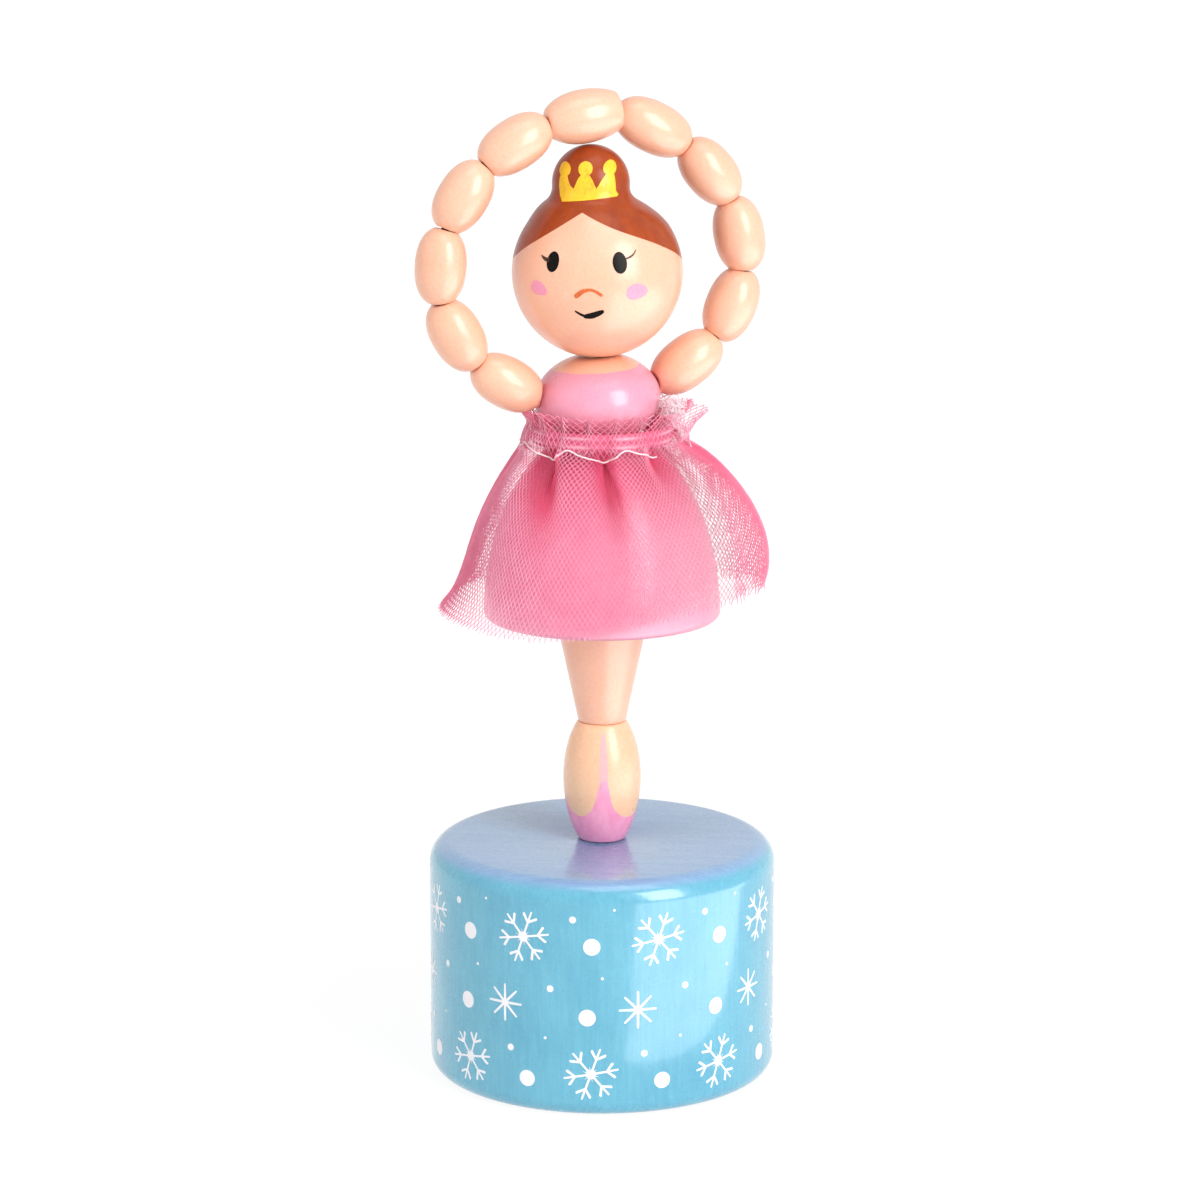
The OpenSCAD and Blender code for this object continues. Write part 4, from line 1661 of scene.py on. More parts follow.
    def stitches(self) -> Thing:
        """Run the white thread in waves through the gathers under the elastic.

        Returns:
            The thread.
        """
        path = []
        for i in range(self.thread_steps):
            turn = radians(self.thread_from + self.thread_over * i / self.thread_steps)
            y = self.thread_y(turn)
            s = max(0.0, self.down(y))
            a = turn
            for _ in range(12):
                a = turn + self.tuck * self.swell(a, s) * sin(self.wave(a)) / self.gathers
            spot = self.cloth(a, y)
            reach = max(hypot(spot.x, spot.y), self.elastic_out + 0.35)
            reach += 0.2 + 0.06 * sin(9 * self.wave(turn))
            path.append(around(reach, turn, spot.z + self.at.bell))
        bm = tube(path, self.thread_r, 2)
        thread = piece(bm, "stitch_thread", THREAD.make(), YARN_CREASE)
        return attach(thread, Body.SKIRT.value)

    def tuft(self) -> Thing:
        """Tease out the loose ends where the net's seam and the elastic overlap.

        Returns:
            The tuft.
        """
        rng = random.Random(11)
        fibres = []
        a = radians(self.seam + 2)
        root = around(self.tuft_r, a, self.at.bell + self.elastic_h + self.tuft_rise)
        for _ in range(self.fibres):
            start = root + Vector((rng.gauss(0, 0.6), rng.gauss(0, 0.6), rng.gauss(0, 0.75)))
            way = Vector((rng.gauss(0, 0.6), rng.gauss(0, 0.6), rng.gauss(0.2, 0.6))).normalized()
            curl = way.orthogonal().normalized()
            across = way.cross(curl)
            long, wide, spin = rng.uniform(0.5, 1.2), rng.uniform(0.15, 0.35), rng.uniform(2, 5)
            path = [start + way * long * t
                    + (curl * sin(spin * t) + across * (1 - cos(spin * t))) * wide
                    for t in (0, 0.14, 0.28, 0.42, 0.57, 0.71, 0.86, 1.0)]
            fibres.append(tube(path, self.fibre_r, 0))
        return self.follow(piece(merged(fibres), "seam_tuft", TUFT.make(), NET_CREASE))


@dataclass
class Torso:
    """The leaned bodice ball."""

    at: Levels
    strands: Strands
    tall: float = 11.7
    wide: float = 17.6
    shown_d: float = 17.9
    shown_x: float = -0.3
    low_r: float = 4.5
    high_r: float = 3.0
    lean: float = 3.4
    widest: float = 0.47
    seat_gap: float = 0.05
    shoulder_h: float = 6.4
    shoulder_gap: float = 0.4
    fold: float = 45.0
    fold_steps: int = 6
    core_r: float = 3.2

    @property
    def seat(self) -> float:
        """Height of the point about which the torso leans."""
        return self.at.waist + self.seat_gap + self.low_r * sin(radians(self.lean))

    def leaned(self) -> Matrix:
        """The torso's own frame."""
        tip = Matrix.Rotation(-radians(self.lean), 4, "Y")
        return Matrix.Translation((0, 0, self.seat)) @ tip

    def cope(self, bm: Mesh, own: Matrix, seam: float) -> None:
        """Hollow a bead's end so that it clears the bodice all the way round its fold.

        Args:
            bm: The bead, which turns about the shoulder.
            own: The torso's own frame.
            seam: The gap left between the two.
        """
        back = own.inverted()
        for v in bm.verts:
            spot = back @ v.co
            aside = spot.x - self.shown_x
            need = 0.0
            for i in range(self.fold_steps + 1):
                folded = Matrix.Rotation(radians(self.fold * i / self.fold_steps), 3, "X") @ Vector(
                    (0, spot.y, spot.z - self.shoulder_h))
                r = bead_r(folded.z + self.shoulder_h, self.tall, self.shown_d, self.low_r, self.high_r,
                           self.widest)
                need = max(need, sqrt(max(0.0, r * r - folded.y ** 2)) + seam)
            if abs(aside) < need:
                v.co = own @ Vector((self.shown_x + copysign(need, aside), spot.y, spot.z))

    def build(self) -> None:
        """Build the bodice."""
        bm = lathe(oval_profile(self.tall, self.shown_d, self.low_r, self.high_r, self.strands.bore,
                                self.widest, 36), 96)
        soften(bm, 0.22)
        outside = [v for v in bm.verts if hypot(v.co.x, v.co.y) > self.core_r]
        bmesh.ops.translate(bm, vec=(self.shown_x, 0, 0), verts=outside)
        own = self.leaned()
        bmesh.ops.transform(bm, matrix=own, verts=bm.verts[:])
        up = own.to_3x3() @ Vector((0, 0, 1))
        paint = BodicePaint("bodice_pink_and_skin", PINK.light, PINK.deep, Grain.TURNED, 0.3, 0.4, 0.18,
                            seat=(0, 0, self.seat), up=tuple(up))
        bodice = piece(bm, "bodice_ball", paint.make())
        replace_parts(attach(bodice, Body.TORSO.value), "torso")


@dataclass
class Head:
    """The head and bun, turned in one, with painted hair, face and crown."""

    wide: float = 24.2
    bun_d: float = 11.0
    bun_rise: float = 12.6
    fillet: float = 2.3
    bun_aside: float = -0.95
    seat_r: float = 3.0
    plug_d: float = 4.5
    bore_l: float = 12.3
    facing: float = -25.5
    aside_from: float = 6.5
    aside_over: float = 5.0
    paint_pitch: float = 0.45
    crown_pitch: float = 0.3
    crown_lift: float = 1.25
    x: float = 0.0
    z: float = 0.0

    def __post_init__(self) -> None:
        """Take the head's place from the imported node."""
        low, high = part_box("head")
        self.x = (low.x + high.x) / 2 / MM
        self.z = low.z / MM + self.drop

    @property
    def r(self) -> float:
        """Radius of the head."""
        return self.wide / 2

    @property
    def drop(self) -> float:
        """Depth of the flat seat below the head's middle."""
        return sqrt(self.r ** 2 - self.seat_r ** 2)

    def hollow(self) -> Point2:
        """Middle of the fillet between the balls, from the head's middle."""
        bun, f = self.bun_d / 2, self.fillet
        up = (self.bun_rise ** 2 + (self.r + f) ** 2 - (bun + f) ** 2) / (2 * self.bun_rise)
        return sqrt((self.r + f) ** 2 - up ** 2), up

    def radius_at(self, h: float) -> float:
        """Outer radius at a height over the head's middle.

        Args:
            h: The height.

        Returns:
            The radius.
        """
        out, up = self.hollow()
        bun = self.bun_d / 2
        low = up * self.r / (self.r + self.fillet)
        high = self.bun_rise + (up - self.bun_rise) * bun / (bun + self.fillet)
        if h < low:
            return sqrt(max(0.0, self.r ** 2 - h ** 2))
        if h < high:
            return out - sqrt(max(0.0, self.fillet ** 2 - (h - up) ** 2))
        return sqrt(max(0.0, bun ** 2 - (h - self.bun_rise) ** 2))

    def aside(self, h: float) -> float:
        """How far the bun stands aside of the head's axis at a height over the head's middle."""
        t = min(1.0, max(0.0, (h - self.aside_from) / self.aside_over))
        return self.bun_aside * t * t * (3 - 2 * t)

    def build(self) -> None:
        """Build the head, its face and its crown."""
        self.ball()
        self.face()
        self.crown()

    def ball(self) -> None:
        """Turn the head and the bun, and paint skin and hair."""
        out, up = self.hollow()
        bun = self.bun_d / 2
        seat = -degrees(acos(self.seat_r / self.r))
        meet = degrees(atan2(up, out))
        bun_meet = degrees(atan2(up - self.bun_rise, out))
        floor = -self.drop
        profile = [(0.0, floor + self.bore_l), (self.plug_d / 2, floor + self.bore_l),
                   (self.plug_d / 2, floor),
                   *arc(0, 0, self.r, seat, meet, 44),
                   *arc(out, up, self.fillet, 180 + meet, 180 + bun_meet, 8)[1:-1],
                   *arc(0, self.bun_rise, bun, bun_meet, 90, 26)[:-1], (0.0, self.bun_rise + bun)]
        bm = lathe(profile, 112, closed=False)
        soften(bm, 0.15, 3, 0.9)
        for v in bm.verts:
            v.co.x += self.aside(v.co.z)
        shift(bm, self.z, self.x)
        line = ((-180, -18), (-140, -13), (-105, -2), (-74, 10.6), (-49.5, 23.3), (-28, 36.6), (-7.8, 50.0),
                (8, 43.2), (22.4, 37.0), (49.4, 26.9), (67, 19.8), (88, 11), (112, -1), (145, -13),
                (180, -18))
        paint = HairPaint("head_skin_and_hair", SKIN.light, SKIN.deep, Grain.TURNED, 0.32, 0.4, 0.22, 0.03,
                          centre=(self.x, 0, self.z), front=self.facing, hairline=line, parting=6)
        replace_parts(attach(piece(bm, "head_and_bun", paint.make()), Body.HEAD.value), "head")

    def on_ball(self, rise: float) -> Place:
        """Give a place function for flat shapes near a level of the face, in degrees.

        Args:
            rise: The level.

        Returns:
            The function.
        """
        flat = cos(radians(rise))

        def place(x: float, y: float, height: float) -> Vector:
            """Lay a flat point, in millimetres from the face's axis and level, on the head."""
            a = radians(self.facing) + x / self.r / flat
            e = y / self.r
            r = self.r + height
            return Vector((self.x + r * cos(e) * sin(a), -r * cos(e) * cos(a), self.z + r * sin(e)))

        return place

    def spot(self, turn: float, rise: float, level: float) -> Point2:
        """Flat point of an angle from the face's axis and a rise, for shapes near a level."""
        return (self.r * radians(turn) * cos(radians(level)), self.r * radians(rise))

    def dress(self, outlines: Sequence[Outline], level: float, name: str, finish: Film) -> None:
        """Paint shapes on the face.

        Args:
            outlines: Flat shapes.
            level: Their level, in degrees.
            name: The piece's name.
            finish: The paint.
        """
        bm = film(outlines, self.on_ball(level), self.paint_pitch)
        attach(piece(bm, name, finish.make()), Body.HEAD.value)

    def oval(self, turn: float, rise: float, level: float, half: Point2, tilt: float = 0.0,
             pinch: float = 0.0) -> Outline:
        """Outline a painted oval, a little irregular where pinched.

        Args:
            turn: Angle from the face's axis, in degrees.
            rise: Angle above the head's middle.
            level: Level of the shapes it goes with.
            half: Half its width and height.
            tilt: Its tilt, in degrees.
            pinch: How far it departs from an oval.

        Returns:
            The outline.
        """
        cx, cy = self.spot(turn, rise, level)
        c, s = cos(radians(tilt)), sin(radians(tilt))
        points = []
        for i in range(36):
            t = tau * i / 36
            grow = 1 + pinch * cos(3 * t + 0.7)
            x, y = half[0] * cos(t) * grow, half[1] * sin(t) * grow
            points.append((cx + x * c - y * s, cy + x * s + y * c))
        return points

    def line(self, marks: Sequence[Point2], level: float, widths: Sequence[float]) -> Outline:
        """Outline a stroke through angles on the face.

        Args:
            marks: Turn and rise of each point, in degrees.
            level: Level of the shapes it goes with.
            widths: Widths along it, evenly spaced.

        Returns:
            The outline.
        """
        path = bent([self.spot(a, e, level) for a, e in marks])
        last = len(path) - 1
        spread = []
        for i in range(len(path)):
            t = i / last * (len(widths) - 1)
            k = min(int(t), len(widths) - 2)
            spread.append(widths[k] + (widths[k + 1] - widths[k]) * (t - k))
        return stroke(path, spread)

    def face(self) -> None:
        """Paint the eyes, lashes, cheeks, nose and mouth."""
        self.dress([self.oval(-24.2, 13.8, 14, (0.98, 1.46), -4),
                    self.oval(23.0, 14.0, 14, (1.03, 1.54), 4)], 14, "face_eyes", INK)
        self.dress([self.line(((-28.0, 14.6), (-30.2, 15.0), (-32.4, 15.9), (-34.4, 17.2)), 16,
                              (0.6, 0.55, 0.4, 0.16)),
                    self.line(((28.0, 16.6), (31.0, 17.6), (33.6, 19.2), (36.0, 22.0)), 16,
                              (0.26, 0.28, 0.24, 0.12))], 16, "face_lashes", LASH)
        self.dress([self.oval(-35.5, -4.8, -5, (1.55, 1.0), -12, 0.07),
                    self.oval(34.7, -5.8, -5, (1.68, 1.12), 6, 0.05)], -5, "face_cheeks", BLUSH)
        self.dress([self.line(((-6.4, -7.9), (-2.4, -5.0), (2.2, -3.7), (6.2, -4.7), (10.0, -7.2)), -6,
                              (0.72, 0.62, 0.42, 0.4, 0.46))], -6, "face_nose", NOSE)
        self.dress([self.line(((-7.8, -18.8), (-4.6, -20.9), (-0.6, -22.6)), -20, (0.22, 0.34, 0.45)),
                    self.line(((-0.6, -22.5), (3.6, -21.9), (7.8, -20.4), (10.8, -19.0)), -20,
                              (0.7, 0.95, 0.85, 0.6))], -20, "face_mouth", INK)

    def crown_ball(self, x: float, z: float, half: float) -> Outline:
        """Outline a ball of the crown, open at its neck."""
        return [(x + half * (p - x), q) for p, q in arc(x, z, 1.0, 235, -55, 18)]

    def crown(self) -> None:
        """Paint the three-pointed crown on the bun."""
        base = -self.z
        outline: Outline = [(-3.7, 127.7), (-4.2, 128.6), (-4.4, 129.8), (-4.35, 130.7),
                            *self.crown_ball(-3.48, 132.1, 1.15), (-2.62, 130.6), (-2.3, 129.95),
                            (-1.78, 129.5), (-1.5, 130.05), (-1.2, 130.75), (-0.92, 131.2),
                            *self.crown_ball(-0.12, 132.3, 1.0), (0.68, 131.2), (0.98, 130.7), (1.22, 130.1),
                            (1.48, 129.58), (1.85, 130.1), (2.25, 130.75), (2.6, 131.25),
                            *self.crown_ball(3.5, 132.4, 1.12), (4.3, 131.0), (4.42, 130.3), (4.48, 129.2),
                            (4.95, 128.62), (4.7, 128.42), (3.2, 128.32), (1.5, 128.18), (0.0, 128.02),
                            (-1.6, 127.88), (-2.8, 127.76)]

        def place(x: float, z: float, height: float) -> Vector:
            """Wrap the crown round the bun."""
            r = self.radius_at(z + base)
            a = radians(self.facing) + x / r
            grow = r + height * self.crown_lift
            return Vector((self.x + self.aside(z + base) + grow * sin(a), -grow * cos(a), z))

        bm = film([outline], place, self.crown_pitch)
        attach(piece(bm, "bun_crown", CROWN.make()), Body.HEAD.value)


@dataclass
class ArmRing:
    """The ring of beads over the head, and the cord that strings it."""

    beads: int = 5
    long: float = 9.9
    wide: float = 7.3
    end_r: float = 1.0
    sag: float = 6.0
    hands_l: float = 10.6
    hands_d: float = 7.6
    hands_left_r: float = 1.9
    hands_right_r: float = 2.6
    hands_tilt: float = 5.0
    bead_gap: float = 0.1
    bore: float = 1.2
    cord_d: float = 1.1
    tip_r: float = 1.4
    full: float = 2.25
    seam: float = 0.04
    open: float = 0.2
    stub: float = 0.9
    last_open: float = -0.3
    wall_in: float = 0.1
    hand_in: float = 0.6
    inner_x: float = 0.7
    flex: float = 1.4
    loop_gap: float = 0.3
    round_share: float = 0.22
    run_steps: int = 28

    def mitre(self, r: float, turn: float) -> float:
        """Room at a bead's end for the turn to the next."""
        return r * tan(turn / 2) + self.bead_gap / 2

    def step(self, i: int, turn: float) -> float:
        """Distance between the two corners of bead i."""
        return (self.long + self.mitre(self.end_r, self.corner_turn(i - 1, turn))
                + self.mitre(self.end_r, self.corner_turn(i, turn)))

    def corner_turn(self, i: int, turn: float) -> float:
        """Turn at corner i, where 0 is the shoulder and the last one the wrist.

        Args:
            i: The corner's number.
            turn: The ring's even turn.

        Returns:
            The turn, in radians.
        """
        if i == 0:
            return turn
        after = 0.0 if i == self.beads else self.heading(i + 1, turn)
        return self.heading(i, turn) - after

    def hands_step(self, turn: float) -> float:
        """Distance between the corners of the hands bead."""
        return self.hands_l + self.mitre(self.hands_left_r, turn) + self.mitre(self.hands_right_r, turn)

    def heading(self, i: int, turn: float) -> float:
        """Heading of bead i of the left arm, whose two middle beads sag inwards."""
        return (self.beads + 1 - i) * turn - (radians(self.sag) if i in (3, 4) else 0.0)

    def close(self, reach: float) -> float:
        """Find the turn at which the ring closes from shoulder to shoulder.

        Args:
            reach: Half the distance between the shoulders.

        Returns:
            The turn, in radians.
        """
        low, high = radians(20), radians(36)
        for _ in range(50):
            turn = (low + high) / 2
            span = self.hands_step(turn) / 2 + sum(
                self.step(i, turn) * cos(self.heading(i, turn)) for i in range(1, self.beads + 1))
            low, high = (turn, high) if span > reach else (low, turn)
        return (low + high) / 2

    def build(self, torso: Torso) -> None:
        """Build every bead and the cord across every corner.

        Args:
            torso: The torso that carries the arms.
        """
        reach = torso.wide / 2 + torso.shoulder_gap
        turn = self.close(reach)
        corners = [Vector((-reach, 0, torso.shoulder_h))]
        for i in range(1, self.beads + 1):
            way = self.heading(i, turn)
            corners.append(corners[-1] + self.step(i, turn) * Vector((cos(way), 0, sin(way))))
        own = torso.leaned()
        skin = SKIN.make()
        hands = self.hands_frame(own, corners[-1].z, turn)
        along = (hands.to_3x3() @ Vector((0, 0, 1))).normalized()
        for side, flip in (("left", 1), ("right", -1)):
            line = [own @ Vector((c.x * flip, c.y, c.z)) for c in corners]
            inside = torso.shown_x - flip * (torso.shown_d / 2 - self.wall_in)
            wall = own @ Vector((inside, 0, torso.shoulder_h))
            line[0], line[-1] = wall, hands @ Vector((0, 0, -flip * self.hands_l / 2))
            ways = [(b - a).normalized() for a, b in zip(line, line[1:])] + [along * flip]
            starts, stops = [], []
            for i, (a, b) in enumerate(zip(ways, ways[1:]), 1):
                touch = line[i] + (b - a).normalized() * self.tip_r
                k = self.open if i < self.beads else self.last_open
                starts.append((touch, (a * (1 - k) + b * (1 + k)).normalized()))
                stops.append((touch, -(a * (1 + k) + b * (1 - k)).normalized()))
            for i in range(1, self.beads + 1):
                bm = self.bead((line[i - 1] + line[i]) / 2, ways[i - 1], (line[i] - line[i - 1]).length / 2,
                               self.stub if i == 1 else 0.0)
                for where, keep in starts[max(0, i - 2):i - 1] + [stops[i - 1]]:
                    self.cut(bm, where, keep)
                soften(bm, 0.06, 2)
                if i == 1:
                    torso.cope(bm, own, self.seam)
                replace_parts(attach(piece(bm, f"{side}_bead_{i}", skin), f"{side}_arm_{i}"),
                            f"{side}_arm_bead_{i}")
        self.hands(skin, hands)
        self.cords(own, corners, hands, self.hands_step(turn) / 2)

    def cut(self, bm: Mesh, where: Vector, keep: Vector) -> None:
        """Face a bead's end against its neighbour.

        Args:
            bm: The bead.
            where: A point of the plane between the two.
            keep: The plane's normal, towards the bead.
        """
        done = bmesh.ops.bisect_plane(bm, geom=bm.verts[:] + bm.edges[:] + bm.faces[:], dist=1e-4,
                                      plane_co=where + keep * self.seam, plane_no=keep, clear_inner=True)
        rims = [e for e in done["geom_cut"] if isinstance(e, bmesh.types.BMEdge)]
        bmesh.ops.bridge_loops(bm, edges=rims)
        bmesh.ops.recalc_face_normals(bm, faces=bm.faces[:])

    def bead(self, middle: Vector, along: Vector, half: float, stub: float) -> Mesh:
        """Turn one long oval bead about a line, with ends that reach past both its corners.

        Args:
            middle: The bead's middle.
            along: Its axis.
            half: Half the distance between its corners.
            stub: How much further its first end reaches.

        Returns:
            The bead, still to be faced at both ends.
        """
        r, k = self.wide / 2, self.full
        end = half / (1 - (self.tip_r / r) ** k) ** (1 / k)
        reach = end * (1 - (self.bore / 2 / r) ** k) ** (1 / k)
        side = []
        for i in range(45):
            u = -reach * cos(pi * i / 44)
            side.append((r * max(0.0, 1 - (abs(u) / end) ** k) ** (1 / k), u))
        side[0] = (self.bore / 2, -reach)
        side[-1] = (self.bore / 2, reach)
        side = [(x, u + stub * min(0.0, u + half) / (reach - half)) for x, u in side]
        bm = lathe(side, 56)
        place = Matrix.Translation(middle) @ along.to_track_quat("Z", "Y").to_matrix().to_4x4()
        bmesh.ops.transform(bm, matrix=place, verts=bm.verts[:])
        return bm

    def hands_frame(self, own: Matrix, height: float, turn: float) -> Matrix:
        """The frame of the joined hands, with its axis along Z from left to right.

        Args:
            own: The torso's own frame.
            height: Height of the wrists in it.
            turn: The ring's even turn.

        Returns:
            The frame.
        """
        aside = (self.mitre(self.hands_left_r, turn) - self.mitre(self.hands_right_r, turn)) / 2
        lift = self.hands_right_r * sin(radians(self.hands_tilt))
        return own @ Matrix.Translation((aside, 0, height + lift)) @ Matrix.Rotation(
            radians(90 - self.hands_tilt), 4, "Y")

    def hands(self, skin: Paint, place: Matrix) -> None:
        """Turn the blunt bead of the joined hands.

        Args:
            skin: Its material.
            place: Its frame.
        """
        profile = oval_profile(self.hands_l, self.hands_d, self.hands_left_r, self.hands_right_r, self.bore)
        bm = lathe(profile, 60)
        soften(bm, 0.3, 4)
        centred = place @ Matrix.Translation((0, 0, -self.hands_l / 2))
        bmesh.ops.transform(bm, matrix=centred, verts=bm.verts[:])
        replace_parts(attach(piece(bm, "hands_joined", skin), Body.HANDS.value), "hands_bead")

    def cords(self, own: Matrix, corners: list[Vector], hands: Matrix, across: float) -> None:
        """String the cord through the beads, bent across each joint.

        Args:
            own: The torso's own frame.
            corners: Corners of the left arm in that frame.
            hands: The frame of the joined hands.
            across: Half the distance between the hands' corners.
        """
        finish = BLACK_CORD.make()
        hand_ends = [hands @ Vector((0, 0, way * (across - self.hand_in))) for way in (-1, 1)]
        middle = hands @ Vector((0, 0, 0))
        for side, flip in (("left", 1), ("right", -1)):
            line = [own @ Vector((c.x * flip, c.y, c.z)) for c in corners]
            mids = [(a + b) / 2 for a, b in zip(line, line[1:])]
            inner = own @ Vector((-self.inner_x * flip, 0, corners[0].z))
            stops = [inner, *mids]
            bodies = [Body.TORSO.value, *[f"{side}_arm_{i}" for i in range(1, self.beads + 1)]]
            for i in range(self.beads):
                run = self.bend(stops[i], line[i], stops[i + 1], f"{side}_cord_{i + 1}", finish)
                bodies[i]
                bodies[i + 1]
                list(self.ends(stops[i], line[i], stops[i + 1]))
                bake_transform(run)
                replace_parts(run, f"{side}_arm_cord_{i + 1}")
            if side == "left":
                run = self.bend(mids[-1], (line[-1] + hand_ends[0]) / 2, middle, "hands_cord_left", finish)
                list(self.ends(mids[-1], line[-1], middle))
                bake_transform(run)
                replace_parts(run, "hands_cord")
            else:
                meet = (line[-1] + hand_ends[1]) / 2
                for start, name, body in ((mids[-1], "right_cord_end", "right_arm_5"),
                                          (middle, "hands_cord_right", Body.HANDS.value)):
                    stop = meet + (start - meet).normalized() * self.loop_gap
                    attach(self.bend(start, (start + stop) / 2, stop, name, finish), body)

    def ends(self, start: Vector, corner: Vector, stop: Vector) -> tuple[Vector, Vector]:
        """Give the two points, in metres, between which a cord turns at a corner."""
        return ((corner + (start - corner).normalized() * self.flex) * MM,
                (corner + (stop - corner).normalized() * self.flex) * MM)

    def bend(self, start: Vector, corner: Vector, stop: Vector, name: str, finish: Paint) -> Thing:
        """Sweep a cord from one bead's middle to the next, rounded at the corner.

        Args:
            start: The first bead's middle.
            corner: The corner between the two.
            stop: The next bead's middle.
            name: The piece's name.
            finish: Its material.

        Returns:
            The cord.
        """
        path = []
        near = self.round_share
        for i in range(self.run_steps + 1):
            t = i / self.run_steps
            if t < 0.5 - near:
                path.append(start.lerp(corner, t * 2))
            elif t > 0.5 + near:
                path.append(corner.lerp(stop, t * 2 - 1))
            else:
                u = (t - 0.5 + near) / (2 * near)
                a, b = start.lerp(corner, 1 - 2 * near), corner.lerp(stop, 2 * near)
                path.append(a * (1 - u) ** 2 + corner * 2 * u * (1 - u) + b * u * u)
        return piece(tube(path, self.cord_d / 2), name, finish)


def seat_cords(torso: Torso, head: Head) -> None:
    """Carry the middle cords across each seat of the figure.

    Args:
        torso: The torso, whose two arm cords leave at the shoulders.
        head: The head that holds the last cord.
    """
    at, strands = torso.at, torso.strands
    finish = BLACK_CORD.make()
    drum_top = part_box("drum")[1].z / MM
    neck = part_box("head")[0].z / MM
    shoulder = torso.seat + torso.shoulder_h
    in_drum, in_foot, in_leg, in_bell = drum_top - 3.5, at.foot + 8.7, at.leg + 7.6, at.bell + 12.9
    steps, flex, neck_flex = 28, 2.2, 1.5
    stops = ((in_drum, drum_top, in_foot, "ankle_cords", Body.DRUM, Body.FOOT, ()),
             (in_foot, at.leg, in_leg, "knee_cords", Body.FOOT, Body.LEG, ("foot_cords",)),
             (in_leg, at.bell, in_bell, "hip_cords", Body.LEG, Body.SKIRT, ("leg_cords",)),
             (in_bell, at.waist + 0.2, shoulder, "waist_cords", Body.SKIRT, Body.TORSO,
              ("skirt_cords", "torso_cords")))
    for low, seat, high, name, below, above, nodes in stops:
        run = piece(strands.upright(low, high, steps), name, finish)
        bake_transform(run)
        if nodes:
            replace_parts(run, *nodes)
    bm = strands.upright(shoulder, neck + 9.0, steps, (2,))
    bmesh.ops.translate(bm, vec=(head.x, 0, 0), verts=[v for v in bm.verts if v.co.z > neck])
    run = piece(bm, "neck_cord", finish)
    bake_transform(run)
    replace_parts(run, "head_cord")
    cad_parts["head_plug"].data.materials.clear()
    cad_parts["head_plug"].data.materials.append(BareWood("plug_wood").make())


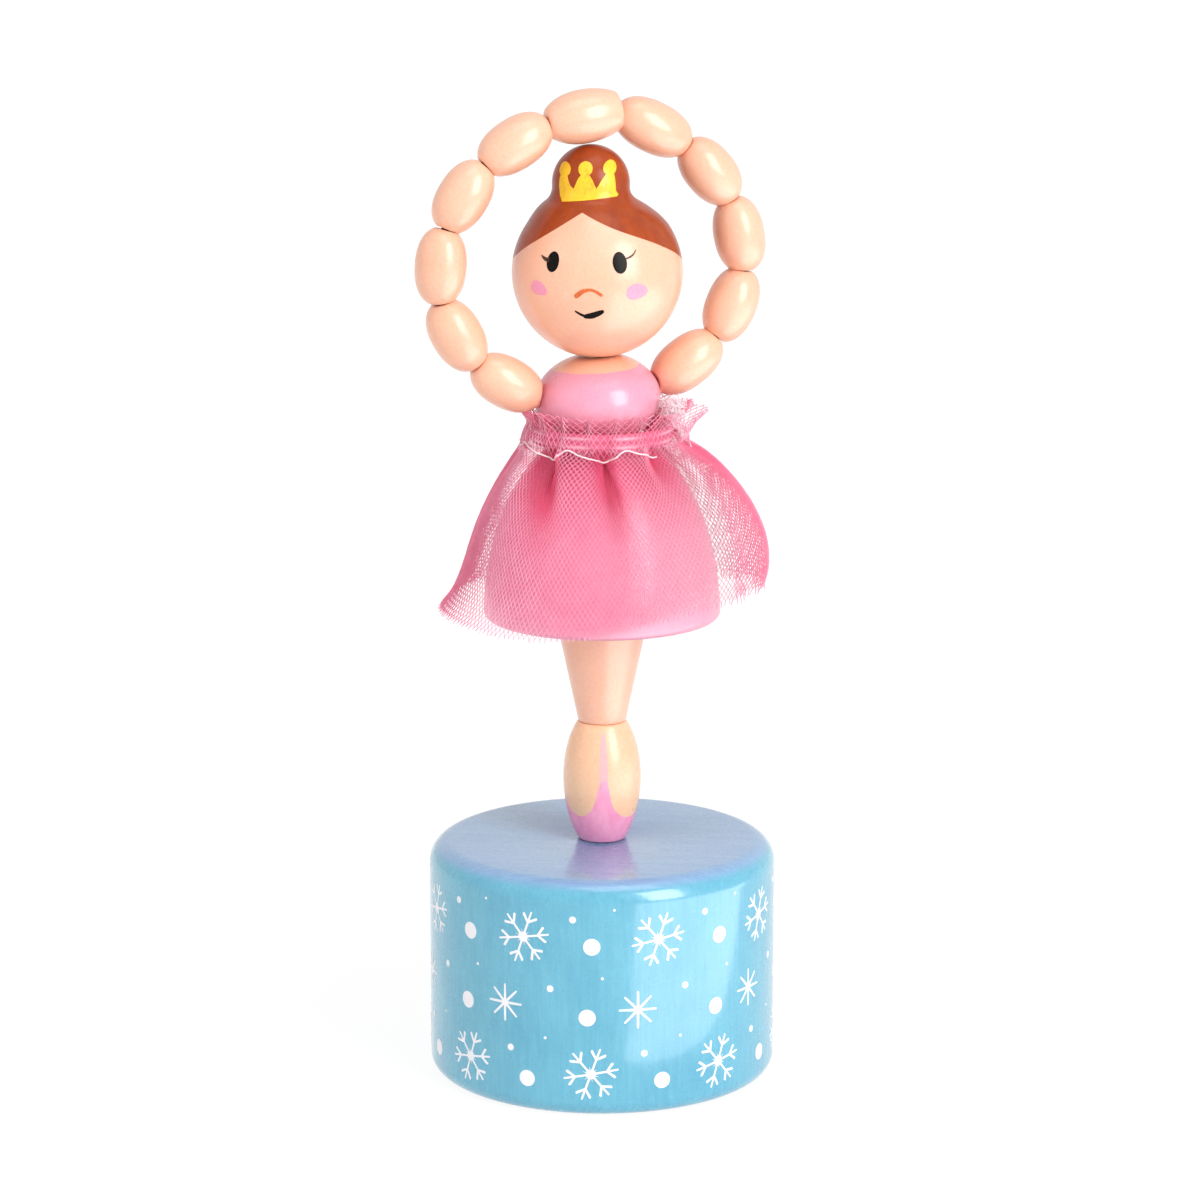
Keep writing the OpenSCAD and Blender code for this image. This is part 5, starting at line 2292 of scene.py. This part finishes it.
@dataclass
class Studio:
    """The camera at the photograph's angle, the pale floor and the soft lights."""

    azimuth: float = -18.0
    elevation: float = 12.5
    away: float = 650.0
    target_z: float = 70.0
    focal_px: float = 4529.0
    image_px: float = 1200.0
    aim_px: Point2 = (602.0, 597.0)
    sensor: float = 36.0
    floor_white: float = 1.06
    floor_share: float = 0.86
    shadow_near: float = 90.0
    shadow_far: float = 260.0
    room_light: float = 0.45
    room_white: float = 1.08
    glossy_share: float = 0.65
    floor_half: float = 3.0
    floor_tone: float = 0.9
    lamp_aim: float = 0.08

    def build(self) -> None:
        """Set up the whole studio."""
        self.camera()
        self.floor()
        self.world()
        self.lights()
        bpy.context.scene.view_settings.view_transform = "Standard"

    def towards(self, azimuth: float, elevation: float) -> Vector:
        """Unit vector from the toy to a direction, in degrees."""
        a, e = radians(azimuth), radians(elevation)
        return Vector((sin(a) * cos(e), -cos(a) * cos(e), sin(e)))

    def camera(self) -> None:
        """Place the camera."""
        data = bpy.data.cameras.new("camera")
        data.sensor_width = self.sensor
        data.lens = self.focal_px / self.image_px * self.sensor
        data.shift_x = (self.image_px / 2 - self.aim_px[0]) / self.image_px
        data.shift_y = (self.aim_px[1] - self.image_px / 2) / self.image_px
        data.clip_start, data.clip_end = 0.01, 20.0
        back = self.towards(self.azimuth, self.elevation)
        eye = bpy.data.objects.new("camera", data)
        eye.location = Vector((0, 0, self.target_z * MM)) + back * self.away * MM
        eye.rotation_mode = "QUATERNION"
        eye.rotation_quaternion = (-back).to_track_quat("-Z", "Y")
        bpy.context.scene.collection.objects.link(eye)
        bpy.context.scene.camera = eye

    def floor(self) -> None:
        """Lay the pale floor, white to the camera but for a soft shadow."""
        bm = bmesh.new()
        bmesh.ops.create_grid(bm, x_segments=2, y_segments=2, size=self.floor_half)
        mesh = bpy.data.meshes.new("floor")
        bm.to_mesh(mesh)
        bm.free()
        nodes = Nodes("pale_floor")
        nodes.give("Base Color", (*(self.floor_tone,) * 3, 1))
        nodes.give("Roughness", 0.9)
        nodes.give("Specular IOR Level", 0.0)
        rays = nodes.add("ShaderNodeLightPath")
        seen = nodes.math("MAXIMUM", rays.outputs["Is Camera Ray"], rays.outputs["Is Glossy Ray"])
        seen = nodes.math("MAXIMUM", seen, rays.outputs["Is Transmission Ray"])
        far = nodes.add("ShaderNodeVectorMath", {0: nodes.place()}, operation="LENGTH").outputs["Value"]
        white = nodes.span(far, self.shadow_near, self.shadow_far, self.floor_share, 1.0)
        share = nodes.math("MULTIPLY", seen, white)
        glow = nodes.add("ShaderNodeEmission", {"Color": (1, 1, 1, 1), "Strength": self.floor_white})
        both = nodes.add("ShaderNodeMixShader", {0: share, 1: nodes.shader.outputs[0], 2: glow.outputs[0]})
        nodes.feed(nodes.tree.nodes["Material Output"].inputs["Surface"], both.outputs[0])
        mesh.materials.append(nodes.material)
        floor = bpy.data.objects.new("floor", mesh)
        bpy.context.scene.collection.objects.link(floor)

    def world(self) -> None:
        """Fill the room with soft light, white where the camera looks past the floor."""
        world = bpy.data.worlds.new("room")
        bpy.context.scene.world = world
        world.use_nodes = True
        tree = world.node_tree
        back = tree.nodes["Background"]
        back.inputs["Color"].default_value = (1, 1, 1, 1)
        rays = tree.nodes.new("ShaderNodeLightPath")
        seen = tree.nodes.new("ShaderNodeMath")
        seen.operation, seen.use_clamp = "MULTIPLY_ADD", True
        seen.inputs[1].default_value = self.glossy_share
        level = tree.nodes.new("ShaderNodeMapRange")
        level.inputs[3].default_value, level.inputs[4].default_value = self.room_light, self.room_white
        tree.links.new(rays.outputs["Is Glossy Ray"], seen.inputs[0])
        tree.links.new(rays.outputs["Is Camera Ray"], seen.inputs[2])
        tree.links.new(seen.outputs[0], level.inputs[0])
        tree.links.new(level.outputs[0], back.inputs["Strength"])

    def lights(self) -> None:
        """Hang the softboxes to the right, to the left and overhead, and lay a card on the floor."""
        for name, azimuth, elevation, away, size, watts in (
                ("softbox_right", 24.0, 23.0, 0.75, (0.34, 0.6), 4.9),
                ("softbox_left", -86.0, 20.0, 0.8, (0.35, 0.6), 1.75),
                ("softbox_top", 10.0, 74.0, 0.8, (0.5, 0.4), 1.2)):
            back = self.towards(azimuth, elevation)
            spot = Vector((0, 0, self.lamp_aim)) + back * away
            lamp = self.lamp(name, spot, (-back).to_track_quat("-Z", "Y"), size, watts)
            lamp.visible_glossy = name != "softbox_left"
        out, across = self.towards(6.0, 0.0), self.towards(96.0, 0.0)
        turn = Matrix((out, across, Vector((0, 0, -1)))).transposed().to_quaternion()
        card = self.lamp("bounce_card", out * 0.19 + across * 0.15 + Vector((0, 0, 0.002)),
                         turn @ Vector((0, 0, 1)).rotation_difference(Vector((0, 0, -1))), (0.32, 0.3), 0.8)
        card.visible_diffuse = False

    def lamp(self, name: str, place: Vector, turn: Quaternion, size: Point2, watts: float) -> Thing:
        """Hang one flat lamp that shines along its own -Z.

        Args:
            name: The lamp's name.
            place: Where it hangs, in metres.
            turn: How it is turned.
            size: Its width and height, in metres.
            watts: Its power.

        Returns:
            The lamp.
        """
        data = bpy.data.lights.new(name, "AREA")
        data.shape = "RECTANGLE"
        data.size, data.size_y = size
        data.energy = watts
        lamp = bpy.data.objects.new(name, data)
        lamp.location = place
        lamp.rotation_mode = "QUATERNION"
        lamp.rotation_quaternion = turn
        bpy.context.scene.collection.objects.link(lamp)
        return lamp


def main() -> None:
    """Build the studio and every piece of the toy, in order."""
    logging.basicConfig(level=logging.INFO, format="%(name)s %(message)s")
    Studio().build()
    at, strands = Levels.packed(), Strands()
    torso, head = Torso(at, strands), Head()
    Drum(strands).build()
    Legs(at, strands).build()
    Skirt(at, strands).build()
    torso.build()
    head.build()
    ArmRing().build(torso)
    seat_cords(torso, head)


if __name__ == "__main__":
    main()
